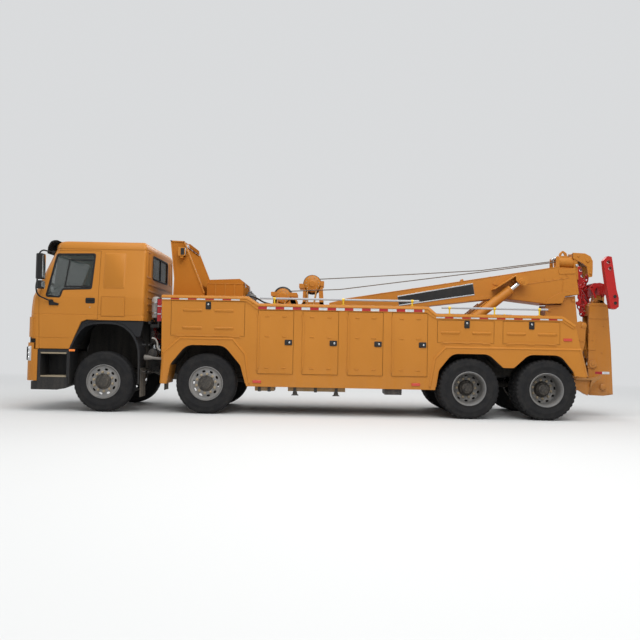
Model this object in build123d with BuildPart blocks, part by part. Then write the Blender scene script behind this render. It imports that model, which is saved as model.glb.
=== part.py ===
from build123d import *
from math import atan2, cos, hypot, radians, sin, tan
import os

os.makedirs("parts", exist_ok=True)

# Heavy wrecker on a four-axle truck chassis, all sizes in millimetres.
# Stations run back from the first axle, heights up from the ground, +Y is the right-hand side.

# Wheelbase and overall reach
axle_1 = 0.0
axle_2 = 1800.0
axle_3 = 6400.0
axle_4 = 7750.0
front_reach = -1366.0
rear_reach = 9332.0
origin_shift = -(front_reach + rear_reach) / 2

# Widths from the centre line
body_half = 1235.0
flare_proud = 15.0
cab_half = 1240.0
locker_inner = 650.0
frame_web = 430.0

# Clearances
door_gap = 6.0
seat_gap = 0.3
running_gap = 0.05
part_gap = 5.0


def side(y=0.0):
    """Side-view plane at y: its x is the station, its y the height, its normal points to the left side."""
    return Plane(origin=(origin_shift, y, 0), x_dir=(1, 0, 0), z_dir=(0, -1, 0))


def cross(x=0.0):
    """Cross-section plane at a station: its x runs to the right-hand side, its y is the height."""
    return Plane(origin=(origin_shift + x, 0, 0), x_dir=(0, 1, 0), z_dir=(1, 0, 0))


def level(z=0.0):
    """Plan-view plane at a height: its x is the station, its y runs to the right-hand side."""
    return Plane(origin=(origin_shift, 0, z))


def axle_line(x, y, z, hand=1):
    """Plane square to a cross axis through a station, its normal pointing outward on that side."""
    return Plane(origin=(origin_shift + x, y, z), x_dir=(1, 0, 0), z_dir=(0, hand, 0))


def outline(*points):
    """Straight-sided face through the points, added to the sketch being built."""
    Polygon(*points)


def box_between(low, high, mode=Mode.ADD):
    """Box from its lowest to its highest corner, in station, side and height."""
    size = [high[i] - low[i] for i in range(3)]
    mid = [(high[i] + low[i]) / 2 for i in range(3)]
    with Locations((origin_shift + mid[0], mid[1], mid[2])):
        Box(*size, mode=mode)


def finish(piece, label):
    """Label a finished piece and write it to its own file."""
    piece.label = label
    export_step(piece, f"parts/{label}.step")


# Wheels: tyres, rims and hubs
tyre_r = 532.0
tyre_half = 150.0
tread_half = 122.0
sidewall_r = 420.0
bead_half = 127.0
rim_r = 290.0
flange_r = 299.0
rim_wall = 14.0
rim_half = 120.0
disc_t = 14.0
weld_lap = 2.0
hub_r = 118.0
hub_cap_r = 70.0
spindle_r = 45.0
front_track_half = 1020.0
rear_track_half = 915.0
twin_half = 170.0
disc_step_r = 178.0
hand_holes = 10
hand_hole_r = 26.0
hand_hole_ring = 226.0
wheel_z = tyre_r


def tyre_ring(centre):
    """Tyre section about the wheel axis, its own width centred on the given offset."""
    outline(
        (rim_r + seat_gap, centre - bead_half),
        (sidewall_r, centre - tyre_half),
        (tyre_r, centre - tread_half),
        (tyre_r, centre + tread_half),
        (sidewall_r, centre + tyre_half),
        (rim_r + seat_gap, centre + bead_half),
    )


def rim_ring(centre, face, disc_in, bolt_in):
    """Rim barrel with one edge flange, and its pressed disc that steps in to the hub's bolt ring."""
    inner = rim_r - rim_wall
    bolt_r = hub_r - 5
    step = sorted((disc_in, bolt_in + disc_t)) if disc_in < bolt_in else sorted((bolt_in, disc_in + disc_t))
    outline(
        (inner, centre - rim_half),
        (rim_r, centre - rim_half),
        (rim_r, centre + rim_half),
        (inner, centre + rim_half),
    )
    outline(
        (inner, centre + face * (rim_half - 4)),
        (rim_r, centre + face * (rim_half - 4)),
        (rim_r, centre + face * (bead_half + 3)),
        (flange_r, centre + face * (bead_half + 3)),
        (flange_r, centre + face * (bead_half + 15)),
        (inner, centre + face * (bead_half + 15)),
    )
    for low_r, high_r, low, high in (
        (disc_step_r, inner + weld_lap, disc_in, disc_in + disc_t),
        (bolt_r, disc_step_r, bolt_in, bolt_in + disc_t),
        (disc_step_r - disc_t, disc_step_r, step[0], step[1]),
    ):
        outline((low_r, low), (low_r, high), (high_r, high), (high_r, low))


def wheel_plane(x, y, hand):
    """Section plane through the wheel axis: its x is the radius, its y the distance outward."""
    return Plane(origin=(origin_shift + x, y, wheel_z), x_dir=(1, 0, 0), z_dir=(0, 0, hand))


def hand_hole_cut(x, y, hand, depth):
    """Ring of hand holes cut through a disc from its outer side."""
    with BuildSketch(axle_line(x, y, wheel_z, hand)) as holes:
        with PolarLocations(hand_hole_ring, hand_holes):
            Circle(hand_hole_r)
    extrude(holes.sketch, amount=-depth, mode=Mode.SUBTRACT)


single_wheels = [
    ("1_left", axle_1, -1), ("1_right", axle_1, 1),
    ("2_left", axle_2, -1), ("2_right", axle_2, 1),
]
front_hub_in = -74.0
front_cap_out = 185.0
front_disc_in = 62.0
front_bolt_in = 92.0
for name, station, hand in single_wheels:
    hub_y = hand * front_track_half
    with BuildPart() as wheel:
        with BuildSketch(wheel_plane(station, hub_y, hand)):
            tyre_ring(0)
        revolve(axis=Axis((origin_shift + station, hub_y, wheel_z), (0, 1, 0)))
        with BuildSketch(wheel_plane(station, hub_y, hand)):
            rim_ring(0, 1, front_disc_in, front_bolt_in)
            outline(
                (spindle_r + running_gap, front_hub_in),
                (hub_r, front_hub_in),
                (hub_r, 125),
                (hub_cap_r, 130),
                (hub_cap_r, front_cap_out),
                (0, front_cap_out),
                (0, 130),
                (spindle_r + running_gap, 130),
            )
        revolve(axis=Axis((origin_shift + station, hub_y, wheel_z), (0, 1, 0)))
        hand_hole_cut(station, hub_y + hand * 120, hand, 100)
    finish(wheel.part, f"wheel_{name}")

twin_wheels = [
    ("3_left", axle_3, -1), ("3_right", axle_3, 1),
    ("4_left", axle_4, -1), ("4_right", axle_4, 1),
]
drum_r = 165.0
twin_bolt_in = 2.0
for name, station, hand in twin_wheels:
    hub_y = hand * rear_track_half
    with BuildPart() as wheel:
        with BuildSketch(wheel_plane(station, hub_y, hand)):
            tyre_ring(-twin_half)
            tyre_ring(twin_half)
        revolve(axis=Axis((origin_shift + station, hub_y, wheel_z), (0, 1, 0)))
        with BuildSketch(wheel_plane(station, hub_y, hand)):
            rim_ring(twin_half, 1, twin_half - rim_half + 2, twin_bolt_in)
            rim_ring(-twin_half, -1, rim_half - twin_half - 2 - disc_t, -twin_bolt_in - disc_t)
            outline(
                (spindle_r + running_gap, -250),
                (drum_r, -250),
                (drum_r, -60),
                (hub_r, -60),
                (hub_r, twin_bolt_in + 58),
                (hub_cap_r, twin_bolt_in + 73),
                (hub_cap_r, 190),
                (0, 190),
                (0, 130),
                (spindle_r + running_gap, 130),
            )
        revolve(axis=Axis((origin_shift + station, hub_y, wheel_z), (0, 1, 0)))
        hand_hole_cut(station, hub_y + hand * 70, hand, 140)
    finish(wheel.part, f"wheel_{name}")

# Steering knuckles: a fork round the axle eye's kingpin, and the stub that carries the hub
kingpin_y = 860.0
kingpin_r = 25.0
eye_r = 42.0
eye_half = 42.0
fork_t = 30.0
fork_half = 55.0
fork_gap = 1.0
stub_back = 52.0
stub_plate_t = 28.0
for name, station, hand in single_wheels:
    pin_y = hand * kingpin_y
    with BuildPart() as knuckle:
        for top in (-1, 1):
            z_in = wheel_z + top * (eye_half + fork_gap)
            with BuildSketch(level(z_in)):
                with Locations((station, pin_y)):
                    Circle(fork_half)
                with Locations((station, pin_y + hand * (stub_back + stub_plate_t) / 2)):
                    Rectangle(2 * fork_half, stub_back + stub_plate_t)
                with Locations((station, pin_y)):
                    Circle(kingpin_r + running_gap, mode=Mode.SUBTRACT)
            extrude(amount=top * fork_t)
        plate_y = sorted((pin_y + hand * stub_back, pin_y + hand * (stub_back + stub_plate_t)))
        reach = eye_half + fork_gap + fork_t
        box_between(
            (station - fork_half, plate_y[0], wheel_z - reach),
            (station + fork_half, plate_y[1], wheel_z + reach),
        )
        with BuildSketch(axle_line(station, pin_y + hand * stub_back, wheel_z, hand)):
            Circle(spindle_r)
        extrude(amount=front_track_half + 125 - kingpin_y - stub_back)
    finish(knuckle.part, f"knuckle_{name}")

# Running gear: steered axle beams, drive axles, leaf springs and shafts
beam_z = 430.0
beam_h = 85.0
beam_w = 90.0
axle_tube_r = 75.0
diff_r = 215.0
diff_half = 170.0
spring_y = 470.0
leaf_w = 80.0
front_spring_half = 780.0
spring_top = 735.0
bogie_x = (axle_3 + axle_4) / 2
frame_low = 740.0
frame_high = 1040.0
with BuildPart() as running_gear:
    for station in (axle_1, axle_2):
        with BuildSketch(cross(station - beam_w / 2)):
            outline(
                (-kingpin_y, wheel_z - eye_half), (-kingpin_y, wheel_z + eye_half), (-700, beam_z + beam_h),
                (700, beam_z + beam_h), (kingpin_y, wheel_z + eye_half), (kingpin_y, wheel_z - eye_half),
                (730, beam_z), (-730, beam_z),
            )
        extrude(amount=beam_w)
        for hand in (-1, 1):
            with BuildSketch(level(wheel_z)):
                with Locations((station, hand * kingpin_y)):
                    Circle(kingpin_r + fork_half + 5)
            extrude(amount=150, both=True, mode=Mode.SUBTRACT)
            with BuildSketch(level(wheel_z - eye_half)):
                with Locations((station, hand * kingpin_y)):
                    Circle(eye_r)
                with Locations((station, hand * (kingpin_y - 50))):
                    Rectangle(60, 80)
            extrude(amount=2 * eye_half)
            with BuildSketch(level(wheel_z)):
                with Locations((station, hand * kingpin_y)):
                    Circle(kingpin_r)
            extrude(amount=eye_half + fork_t, both=True)
            with BuildSketch(side(hand * spring_y)):
                outline(
                    (station - front_spring_half, spring_top), (station - front_spring_half, spring_top - 35),
                    (station - 60, beam_z + beam_h), (station + 60, beam_z + beam_h),
                    (station + front_spring_half, spring_top - 35), (station + front_spring_half, spring_top),
                    (station + 60, beam_z + beam_h + 75), (station - 60, beam_z + beam_h + 75),
                )
            extrude(amount=leaf_w / 2, both=True)
            for end in (-1, 1):
                box_between(
                    (station + end * front_spring_half - 40, hand * spring_y - 40, spring_top - 40),
                    (station + end * front_spring_half + 40, hand * spring_y + 40, frame_low + 80),
                )
    for station in (axle_3, axle_4):
        with BuildSketch(axle_line(station, 0, wheel_z)):
            Circle(axle_tube_r)
        extrude(amount=rear_track_half - 290, both=True)
        with BuildSketch(axle_line(station, 0, wheel_z)):
            Circle(spindle_r)
        extrude(amount=rear_track_half + 125, both=True)
        with BuildSketch(axle_line(station, 0, wheel_z)):
            Circle(diff_r)
        extrude(amount=diff_half / 2, both=True)
        with BuildSketch(cross(station)):
            with Locations((0, wheel_z + 30)):
                Circle(60)
        extrude(amount=-330)
    for hand in (-1, 1):
        with BuildSketch(side(hand * spring_y)):
            outline(
                (axle_3 - 90, wheel_z + 75), (axle_3 - 90, wheel_z + 125), (bogie_x - 150, wheel_z + 330),
                (bogie_x + 150, wheel_z + 330), (axle_4 + 90, wheel_z + 125), (axle_4 + 90, wheel_z + 75),
                (bogie_x + 150, wheel_z + 200), (bogie_x - 150, wheel_z + 200),
            )
        extrude(amount=leaf_w / 2, both=True)
        for station in (axle_3, axle_4):
            box_between(
                (station - 60, hand * spring_y - 60, wheel_z - 60),
                (station + 60, hand * spring_y + 60, wheel_z + 90),
            )
        box_between(
            (bogie_x - 130, hand * spring_y - 40, wheel_z + 180),
            (bogie_x + 130, hand * spring_y + 40, frame_high - 20),
        )
    shaft_r = 55.0
    with BuildSketch(cross(axle_3 - 330)):
        with Locations((0, wheel_z + 30)):
            Circle(shaft_r)
    extrude(amount=-(axle_3 - 330 - 1350))
    with BuildSketch(cross(axle_4 - 330)):
        with Locations((0, wheel_z + 30)):
            Circle(shaft_r)
    extrude(amount=-(axle_4 - axle_3 - 330 - diff_r + 10))
finish(running_gear.part, "running_gear")

# Chassis frame: two channels, cross-members, the recovery sub-frame and the cab mounts
frame_front = -1150.0
frame_rear = 8560.0
channel_t = 10.0
flange_w = 80.0
subframe_high = 1130.0
cab_floor_front = 1090.0
cab_floor_rear = 1606.0
cab_mounts = [(-1000.0, cab_floor_front), (620.0, cab_floor_rear)]
cross_members = [-1100.0, 1420.0, 2700.0, 4300.0, 5400.0, 7075.0, 8150.0]
with BuildPart() as chassis_frame:
    for hand in (-1, 1):
        with BuildSketch(cross(frame_front)):
            outline(
                (hand * frame_web, frame_low), (hand * frame_web, frame_high),
                (hand * (frame_web - flange_w), frame_high),
                (hand * (frame_web - flange_w), frame_high - channel_t),
                (hand * (frame_web - channel_t), frame_high - channel_t),
                (hand * (frame_web - channel_t), frame_low + channel_t),
                (hand * (frame_web - flange_w), frame_low + channel_t),
                (hand * (frame_web - flange_w), frame_low),
            )
        extrude(amount=frame_rear - frame_front)
        box_between(
            (1040, min(hand * frame_web, hand * (frame_web - flange_w)), frame_high),
            (8240, max(hand * frame_web, hand * (frame_web - flange_w)), subframe_high),
        )
        for station, floor_z in cab_mounts:
            box_between(
                (station - 50, hand * (frame_web - flange_w / 2) - 35, frame_high),
                (station + 50, hand * (frame_web - flange_w / 2) + 35, floor_z),
            )
    for station in cross_members:
        box_between(
            (station - 45, -(frame_web - channel_t), frame_low + 30),
            (station + 45, frame_web - channel_t, frame_low + 200),
        )
finish(chassis_frame.part, "chassis_frame")

with BuildPart() as engine:
    engine_half = frame_web - flange_w
    with BuildSketch(side(0)):
        outline(
            (-560, 660), (-560, 1110), (-390, 1490), (-360, 1540),
            (560, 1540), (640, 1400), (640, 660),
        )
    extrude(amount=engine_half, both=True)
    with BuildSketch(side(0)):
        outline((640, 680), (640, 1010), (1350, 960), (1350, 520), (900, 560))
    extrude(amount=220, both=True)
finish(engine.part, "engine")

# Cab: a lofted form, wider at the belt than at the roof, with rounded front corners
cab_rear = 690.0
cab_wall = 50.0
cab_corner_r = 150.0
belt_z = 2004.0
roof_z = 3005.0
cab_sections = [
    # height, front station, half width, corner radius
    (1000.0, -1364.0, 1240.0, 150.0),
    (1640.0, -1366.0, 1240.0, 150.0),
    (belt_z, -1309.0, 1240.0, 150.0),
    (2860.0, -962.0, 1135.0, 170.0),
    (roof_z, -905.0, 1040.0, 200.0),
]
arch_outline = [
    (-589, 900), (-589, 1100), (-392, 1566), (-304, cab_floor_rear), (cab_rear + 60, cab_floor_rear),
    (cab_rear + 60, 900),
]
front_panel_low = 1265.0
nose_rear = -1178.0
door_rear = -110.0
door_outline = [
    (-1112, 1090), (-1142, 1975), (-936, 2812), (door_rear, 2826),
    (door_rear, 1620), (-304, 1612), (-402, 1566),
    (-594, 1096),
]
window_outline = [
    (-1030, 2000), (-880, 2765), (-200, 2780), (-235, 2150), (-737, 2130), (-776, 1992),
]


def cab_form(inset, with_floor=True):
    """Solid cab shape drawn in by an inset, with its floor and wheel arch cut out or left whole."""
    with BuildPart() as form:
        for z, front, half, corner in cab_sections:
            height = z - (inset if z == roof_z else 0) + (inset if z == cab_sections[0][0] else 0)
            with BuildSketch(level(height)) as section:
                with BuildLine():
                    radius = corner - inset / 2
                    right = half - inset
                    nose = front + inset
                    tail = cab_rear - inset
                    Line((tail, -right), (nose + radius, -right))
                    TangentArc((nose + radius, -right), (nose, -right + radius), tangent=(-1, 0))
                    Line((nose, -right + radius), (nose, right - radius))
                    TangentArc((nose, right - radius), (nose + radius, right), tangent=(0, 1))
                    Line((nose + radius, right), (tail, right))
                    Line((tail, right), (tail, -right))
                make_face()
        loft(ruled=True)
        if not with_floor:
            return form.part
        with BuildSketch(side(0)):
            outline(
                (front_reach - 50, 900), (front_reach - 50, front_panel_low + inset),
                (nose_rear + inset, front_panel_low + inset), (nose_rear + inset, cab_floor_front + inset),
                (cab_rear + 100, cab_floor_front + inset), (cab_rear + 100, 900),
            )
        extrude(amount=cab_half + 50, both=True, mode=Mode.SUBTRACT)
        with BuildSketch(side(0)):
            outline(*arch_outline)
            if inset:
                offset(amount=inset, kind=Kind.INTERSECTION)
        extrude(amount=cab_half + 50, both=True, mode=Mode.SUBTRACT)
    return form.part


cab_hinge_x = -1151.0
cab_hinge_y = cab_half + 9.0
cab_hinge_z = (1320.0, 1860.0)
hinge_pin_r = 5.0
hinge_block = 8.0
hinge_len = 60.0
cab_outer = cab_form(0)
cab_inner = cab_form(cab_wall)
door_skin = cab_outer - cab_form(cab_wall, with_floor=False)
door_recess = cab_form(-2 * door_gap, with_floor=False) - cab_form(cab_wall + door_gap, with_floor=False)
door_depth = 240.0
door_swing_trim = 14.0
glass_out = 18.0
glass_t = 8.0
glass_skin = cab_form(glass_out) - cab_form(glass_out + glass_t)
windscreen = [(-1010, 2075), (1010, 2075), (930, 2800), (-930, 2800)]
rear_window = [(-760, 2431), (760, 2431), (700, 2841), (-700, 2841)]

with BuildPart() as cab_shell:
    add(cab_outer)
    add(cab_inner, mode=Mode.SUBTRACT)
    for hand in (-1, 1):
        with BuildSketch(side(hand * (cab_half + 20))):
            outline(*door_outline)
            offset(amount=door_gap, kind=Kind.INTERSECTION)
        opening = extrude(amount=hand * door_depth, mode=Mode.PRIVATE)
        add(opening & door_recess, mode=Mode.SUBTRACT)
    with BuildSketch(cross(front_reach - 20)):
        outline(*windscreen)
    extrude(amount=700, mode=Mode.SUBTRACT)
    with BuildSketch(cross(cab_rear + 20)):
        outline(*rear_window)
    extrude(amount=-100, mode=Mode.SUBTRACT)
    for hand in (-1, 1):
        for low in cab_hinge_z:
            y_root = sorted((hand * (cab_half - 6), hand * (cab_hinge_y + hinge_pin_r + 3)))
            for start in (low - 16, low + hinge_len + 1):
                box_between(
                    (cab_hinge_x - 30, y_root[0], start),
                    (cab_hinge_x - hinge_pin_r - 2, y_root[1], start + 15),
                )
                y_ear = sorted((hand * (cab_half + 1), hand * (cab_hinge_y + hinge_pin_r + 3)))
                box_between((cab_hinge_x - 30, y_ear[0], start), (cab_hinge_x + 5, y_ear[1], start + 15))
            with BuildSketch(level(low - 16)):
                with Locations((cab_hinge_x, hand * cab_hinge_y)):
                    Circle(hinge_pin_r)
            extrude(amount=hinge_len + 32)
finish(cab_shell.part, "cab_shell")

with BuildPart() as windscreen_prism:
    with BuildSketch(cross(front_reach - 20)):
        outline(*windscreen)
        offset(amount=-seat_gap, kind=Kind.INTERSECTION)
    extrude(amount=700)
    with BuildSketch(cross(cab_rear + 20)):
        outline(*rear_window)
        offset(amount=-seat_gap, kind=Kind.INTERSECTION)
    extrude(amount=-100)
with BuildPart() as cab_glass:
    add(glass_skin)
    add(windscreen_prism.part, mode=Mode.INTERSECT)
finish(cab_glass.part, "cab_glass")

door_names = [("left", -1), ("right", 1)]
for name, hand in door_names:
    with BuildPart() as door:
        add(door_skin)
        with BuildSketch(side(hand * (cab_half + 20))):
            outline(*door_outline)
        extrude(amount=hand * door_depth, mode=Mode.INTERSECT)
        with BuildSketch(side(hand * (cab_half + 20))):
            outline(*window_outline)
        extrude(amount=hand * door_depth, mode=Mode.SUBTRACT)
        with BuildSketch(level(cab_floor_front - 10)):
            outline(
                (door_rear, hand * cab_half), (door_rear + 10, hand * (cab_half + 10)),
                (door_rear + 10, hand * (cab_half - door_depth)),
                (door_rear - door_swing_trim, hand * (cab_half - door_depth + 80)),
            )
        extrude(amount=roof_z - cab_floor_front, mode=Mode.SUBTRACT)
        for low in cab_hinge_z:
            y_leaf = sorted((hand * (cab_half + 1), hand * (cab_hinge_y + hinge_block)))
            y_root = sorted((hand * (cab_half - 6), hand * (cab_hinge_y + hinge_block)))
            box_between((cab_hinge_x, y_leaf[0], low), (-1080, y_leaf[1], low + hinge_len))
            box_between((-1104, y_root[0], low), (-1080, y_root[1], low + hinge_len))
            with BuildSketch(level(low)):
                with Locations((cab_hinge_x, hand * cab_hinge_y)):
                    Circle(hinge_block)
            extrude(amount=hinge_len)
            with BuildSketch(level(low)):
                with Locations((cab_hinge_x, hand * cab_hinge_y)):
                    Circle(hinge_pin_r + running_gap)
            extrude(amount=hinge_len, mode=Mode.SUBTRACT)
    finish(door.part, f"cab_door_{name}")
    with BuildPart() as mirror:
        y = sorted((hand * 1330, hand * 1500))
        with BuildSketch(level(2286)):
            outline(
                (-1129, y[0]), (-1129, y[1]), (-1010, y[1]),
                (-993, y[1] - 20), (-993, y[0] + 20), (-1010, y[0]),
            )
        extrude(amount=449)
        with BuildSketch(level(2119)):
            outline(
                (-1110, y[0]), (-1110, y[1]), (-1010, y[1]),
                (-1000, y[1] - 20), (-1000, y[0] + 20), (-1010, y[0]),
            )
        extrude(amount=150)
        with BuildSketch(level(2022)):
            with Locations((-1085, hand * 1400)):
                Circle(13)
        extrude(amount=830)
        with BuildSketch(axle_line(-1085, hand * (cab_half + seat_gap + 10), 2036, hand)):
            Circle(13)
        extrude(amount=1413 - cab_half - seat_gap - 10)
        foot = sorted((hand * (cab_half + seat_gap), hand * (cab_half + 14)))
        box_between((-1115, foot[0], cab_hinge_z[1] + hinge_len + 10), (-1055, foot[1], 2050))
    finish(mirror.part, f"mirror_{name}")
    with BuildPart() as glass:
        add(glass_skin)
        with BuildSketch(side(hand * (cab_half + 20))):
            outline(*window_outline)
            offset(amount=-seat_gap, kind=Kind.INTERSECTION)
        extrude(amount=hand * door_depth, mode=Mode.INTERSECT)
    finish(glass.part, f"door_glass_{name}")

# Cab interior: seats, bunk, dashboard and steering wheel
seat_y = 620.0
with BuildPart() as cab_interior:
    for y in (-seat_y, seat_y):
        with BuildSketch(side(y)):
            outline((-480, 1695), (-470, 1840), (40, 1800), (60, 1695))
        extrude(amount=250, both=True)
        with BuildSketch(side(y)):
            outline((-60, 1780), (-90, 2480), (10, 2500), (70, 1780))
        extrude(amount=240, both=True)
        with BuildSketch(side(y)):
            outline(
                (-420, cab_floor_rear + cab_wall), (-420, 1695),
                (20, 1695), (20, cab_floor_rear + cab_wall),
            )
        extrude(amount=180, both=True)
    box_between((230, -1080, cab_floor_rear + cab_wall), (630, 1080, 1900))
    with BuildSketch(side(0)):
        outline((-1230, 1700), (-1210, 1960), (-1000, 2030), (-880, 1980), (-900, 1700))
    extrude(amount=1080, both=True)
    with BuildSketch(side(0)):
        outline(
            (-1250, front_panel_low + cab_wall), (-1230, 1700),
            (-1100, 1700), (-1050, cab_floor_front + cab_wall),
            (-1120, cab_floor_front + cab_wall), (-1120, front_panel_low + cab_wall),
        )
    extrude(amount=1080, both=True)
    wheel_tilt = Plane(
        origin=(origin_shift - 800, -seat_y, 2080),
        x_dir=(0, 1, 0),
        z_dir=(-cos(radians(60)), 0, sin(radians(60))),
    )
    with BuildSketch(wheel_tilt):
        Circle(220)
        Circle(190, mode=Mode.SUBTRACT)
        Rectangle(400, 50)
        Circle(60)
    extrude(amount=24)
    with BuildSketch(wheel_tilt):
        Circle(35)
    extrude(amount=-170)
finish(cab_interior.part, "cab_interior")

# Black lower trim of the cab: wheel-arch fenders, step boxes, mud flaps and the body's wheel-arch liners
fender_in = 760.0
fender_arc = [
    (-589, 1085), (-392, 1536), (-304, 1576), (235, 1576),
    (492, 1440), (652, 1150), (652, 507), (616, 507), (616, 1140),
    (460, 1400), (220, 1530), (-123, 1525), (-330, 1440), (-560, 1085),
]
step_outline = [
    (-1238, 379), (-1238, 526), (-1134, 526), (-1134, 1084),
    (-600, 1084), (-640, 900), (-665, 640), (-640, 451),
    (-781, 379),
]
visor_outline = [
    (-1160, 2800), (-1112, 2930), (-1045, 3008), (-960, 3026),
    (-925, 3022), (-960, 3010), (-1036, 2992), (-1092, 2922),
    (-1138, 2800),
]
visor_stay = [(-1100, 2905), (-1040, 2990), (-975, 3008), (-905, 3005), (-962, 2860)]
visor_half = 1010.0
visor_stay_y = 700.0
visor_stay_t = 24.0
step_half = 1236.0
step_depth = 430.0
tread_steps = [(1020.0, 60.0), (620.0, 60.0)]
with BuildPart() as cab_skirts:
    for hand in (-1, 1):
        with BuildSketch(side(hand * step_half)):
            outline(*fender_arc)
        extrude(amount=hand * (step_half - fender_in))
        with BuildSketch(side(hand * step_half)):
            outline(*step_outline)
        extrude(amount=hand * step_depth)
        for z, height in tread_steps:
            box_between(
                (-1020, min(hand * 1100, hand * 1260), z),
                (-680, max(hand * 1100, hand * 1260), z + 220),
                Mode.SUBTRACT,
            )
        bracket = sorted((hand * frame_web, hand * 820))
        box_between((-1200, bracket[0], 780), (-1120, bracket[1], 860))
        box_between((616, bracket[0], 900), (652, bracket[1], 980))
        with BuildSketch(side(hand * visor_stay_y)):
            outline(*visor_stay)
        extrude(amount=visor_stay_t / 2, both=True)
    with BuildSketch(side(0)):
        outline(*visor_outline)
    extrude(amount=visor_half, both=True)
finish(cab_skirts.part, "cab_skirts")

liner_t = 8.0
front_arch = [
    # station, height, corner radius
    (1092, 400, 0), (1178, 870, 180), (1452, 1212, 260),
    (2120, 1212, 260), (2412, 870, 180), (2545, 400, 0),
]
rear_arch = [
    (5786, 400, 0), (5856, 850, 180), (6090, 1146, 240),
    (6730, 1146, 240), (6987, 915, 30), (7165, 915, 30),
    (7420, 1150, 240), (7980, 1150, 240), (8215, 860, 180), (8330, 400, 0),
]


def arch_opening(arch, inset=0.0):
    """Wheel opening as a face with rounded corners, shrunk on every side by an inset."""
    with BuildSketch() as opening:
        outline(*[(x, z) for x, z, radius in arch])
        for x, z, radius in arch:
            if radius:
                fillet(opening.vertices().sort_by_distance((x, z, 0))[0], radius)
        if inset:
            offset(amount=-inset, kind=Kind.INTERSECTION)
    return opening.sketch


def cut_arches(hand, out, depth):
    """Cut both wheel openings from a side plane inward."""
    for arch in (front_arch, rear_arch):
        with BuildSketch(side(hand * out)) as opening:
            add(arch_opening(arch))
        extrude(opening.sketch, amount=hand * depth, mode=Mode.SUBTRACT)



# Front bumper with the cab's front corner aprons
bumper_high = 1191.0
bumper_low = 532.0
bumper_wall = 70.0
bumper_side_rear = -1140.0
bumper_corner = 190.0
bumper_notch_z = 1082.0
bumper_notch_x = -1210.0
lamp_y = 1115.0
lamp_r = 36.0
lamp_heights = [925.0, 1003.0, 1081.0]
lamp_back = -1312.0
lamp_depth = 40.0
with BuildPart() as front_bumper:
    with BuildSketch(level(bumper_low)) as bumper_plan:
        with Locations(((front_reach + bumper_side_rear) / 2, 0)):
            Rectangle(bumper_side_rear - front_reach, 2 * cab_half)
        fillet(bumper_plan.vertices().group_by(Axis.X)[0], bumper_corner)
        with Locations(((front_reach + bumper_side_rear) / 2 + bumper_wall, 0)):
            Rectangle(bumper_side_rear - front_reach, 2 * (cab_half - bumper_wall), mode=Mode.SUBTRACT)
    extrude(amount=bumper_high - bumper_low)
    with BuildSketch(cross(front_reach - 10)):
        with Locations((0, 700)):
            Rectangle(1300, 200)
    extrude(amount=45, mode=Mode.SUBTRACT)
    for hand in (-1, 1):
        box_between(
            (front_reach + bumper_wall, min(hand * frame_web, hand * 360), 800),
            (frame_front, max(hand * frame_web, hand * 360), 980),
        )
        recess = sorted((hand * 1030, hand * 1215))
        box_between((front_reach - 10, recess[0], 880), (lamp_back, recess[1], 1125), Mode.SUBTRACT)
    box_between(
        (bumper_notch_x, -cab_half - 10, bumper_notch_z),
        (bumper_side_rear + 10, cab_half + 10, bumper_high + 10),
        Mode.SUBTRACT,
    )
finish(front_bumper.part, "front_bumper")

with BuildPart() as lamps:
    for hand in (-1, 1):
        with BuildSketch(cross(lamp_back)):
            for z in lamp_heights:
                with Locations((hand * lamp_y, z)):
                    Circle(lamp_r)
        extrude(amount=-lamp_depth)
finish(lamps.part, "lamps")

# Intake air cleaner and exhaust box behind the cab
with BuildPart() as air_cleaner:
    with BuildSketch(level(1673)):
        with Locations((829, -900)):
            Circle(77)
    extrude(amount=384)
    with BuildSketch(level(1640)):
        with Locations((829, -900)):
            Circle(60)
    extrude(amount=33)
    box_between((789, -940, 1560), (869, -frame_web + 40, 1640))
    box_between((789, -frame_web, frame_high), (869, -frame_web + 80, 1640))
    with BuildSketch(axle_line(842, -1120, 1040)):
        Circle(85)
    extrude(amount=600)
    box_between((800, -540, 960), (884, -frame_web, 1040))
finish(air_cleaner.part, "air_cleaner")

# Recovery body: one locker side on each flank, hollow behind its doors
body_front = 1005.0
top_front = 2070.0
top_mid = 1950.0
top_rear = 1828.0
sill_z = 500.0
skin_t = 30.0
inner_t = 20.0
cap_h = 60.0
cap_proud = 12.0
body_top = [
    (body_front, top_front), (2512, top_front), (2698, top_mid),
    (5668, top_mid), (5817, top_rear), (8015, top_rear),
    (8243, 1679),
]
body_outline = body_top + [(8441, 760), (8230, 790), (8100, sill_z), (2500, sill_z), (1090, 522), (1030, 522)]
flares = [
    [
        (1034, 522), (1060, 1060), (1350, 1315), (2259, 1315),
        (2475, 1060), (2560, sill_z), (2400, sill_z), (1090, 522),
    ],
    [(5714, sill_z), (5800, 1050), (5982, 1240), (8325, 1240), (8441, 760), (8230, 790), (8100, sill_z)],
]
hollows = [
    # front, rear, low, high
    (1060.0, 2490.0, 1345.0, 2000.0),
    (2660.0, 5690.0, 560.0, 1880.0),
    (5800.0, 7990.0, 1240.0, 1760.0),
]
tall_doors = [
    ("d1", 2701.0, 3317.0), ("d2", 3483.0, 4101.0),
    ("d3", 4273.0, 4881.0), ("d4", 5046.0, 5658.0),
]
tall_low = 730.0
tall_high = 1828.0
drop_doors = [
    # name, front, rear, low, high
    ("a", 1178.0, 2458.0, 1367.0, 1971.0),
    ("d5", 5836.0, 6817.0, 1330.0, 1717.0),
    ("d6", 6979.0, 7967.0, 1330.0, 1717.0),
]
hinge_y = body_half + 7.0
hinge_r = 6.5
pin_r = 4.0
strap = 28.0
end_block = 30.0
hinge_play = 1.0


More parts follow.
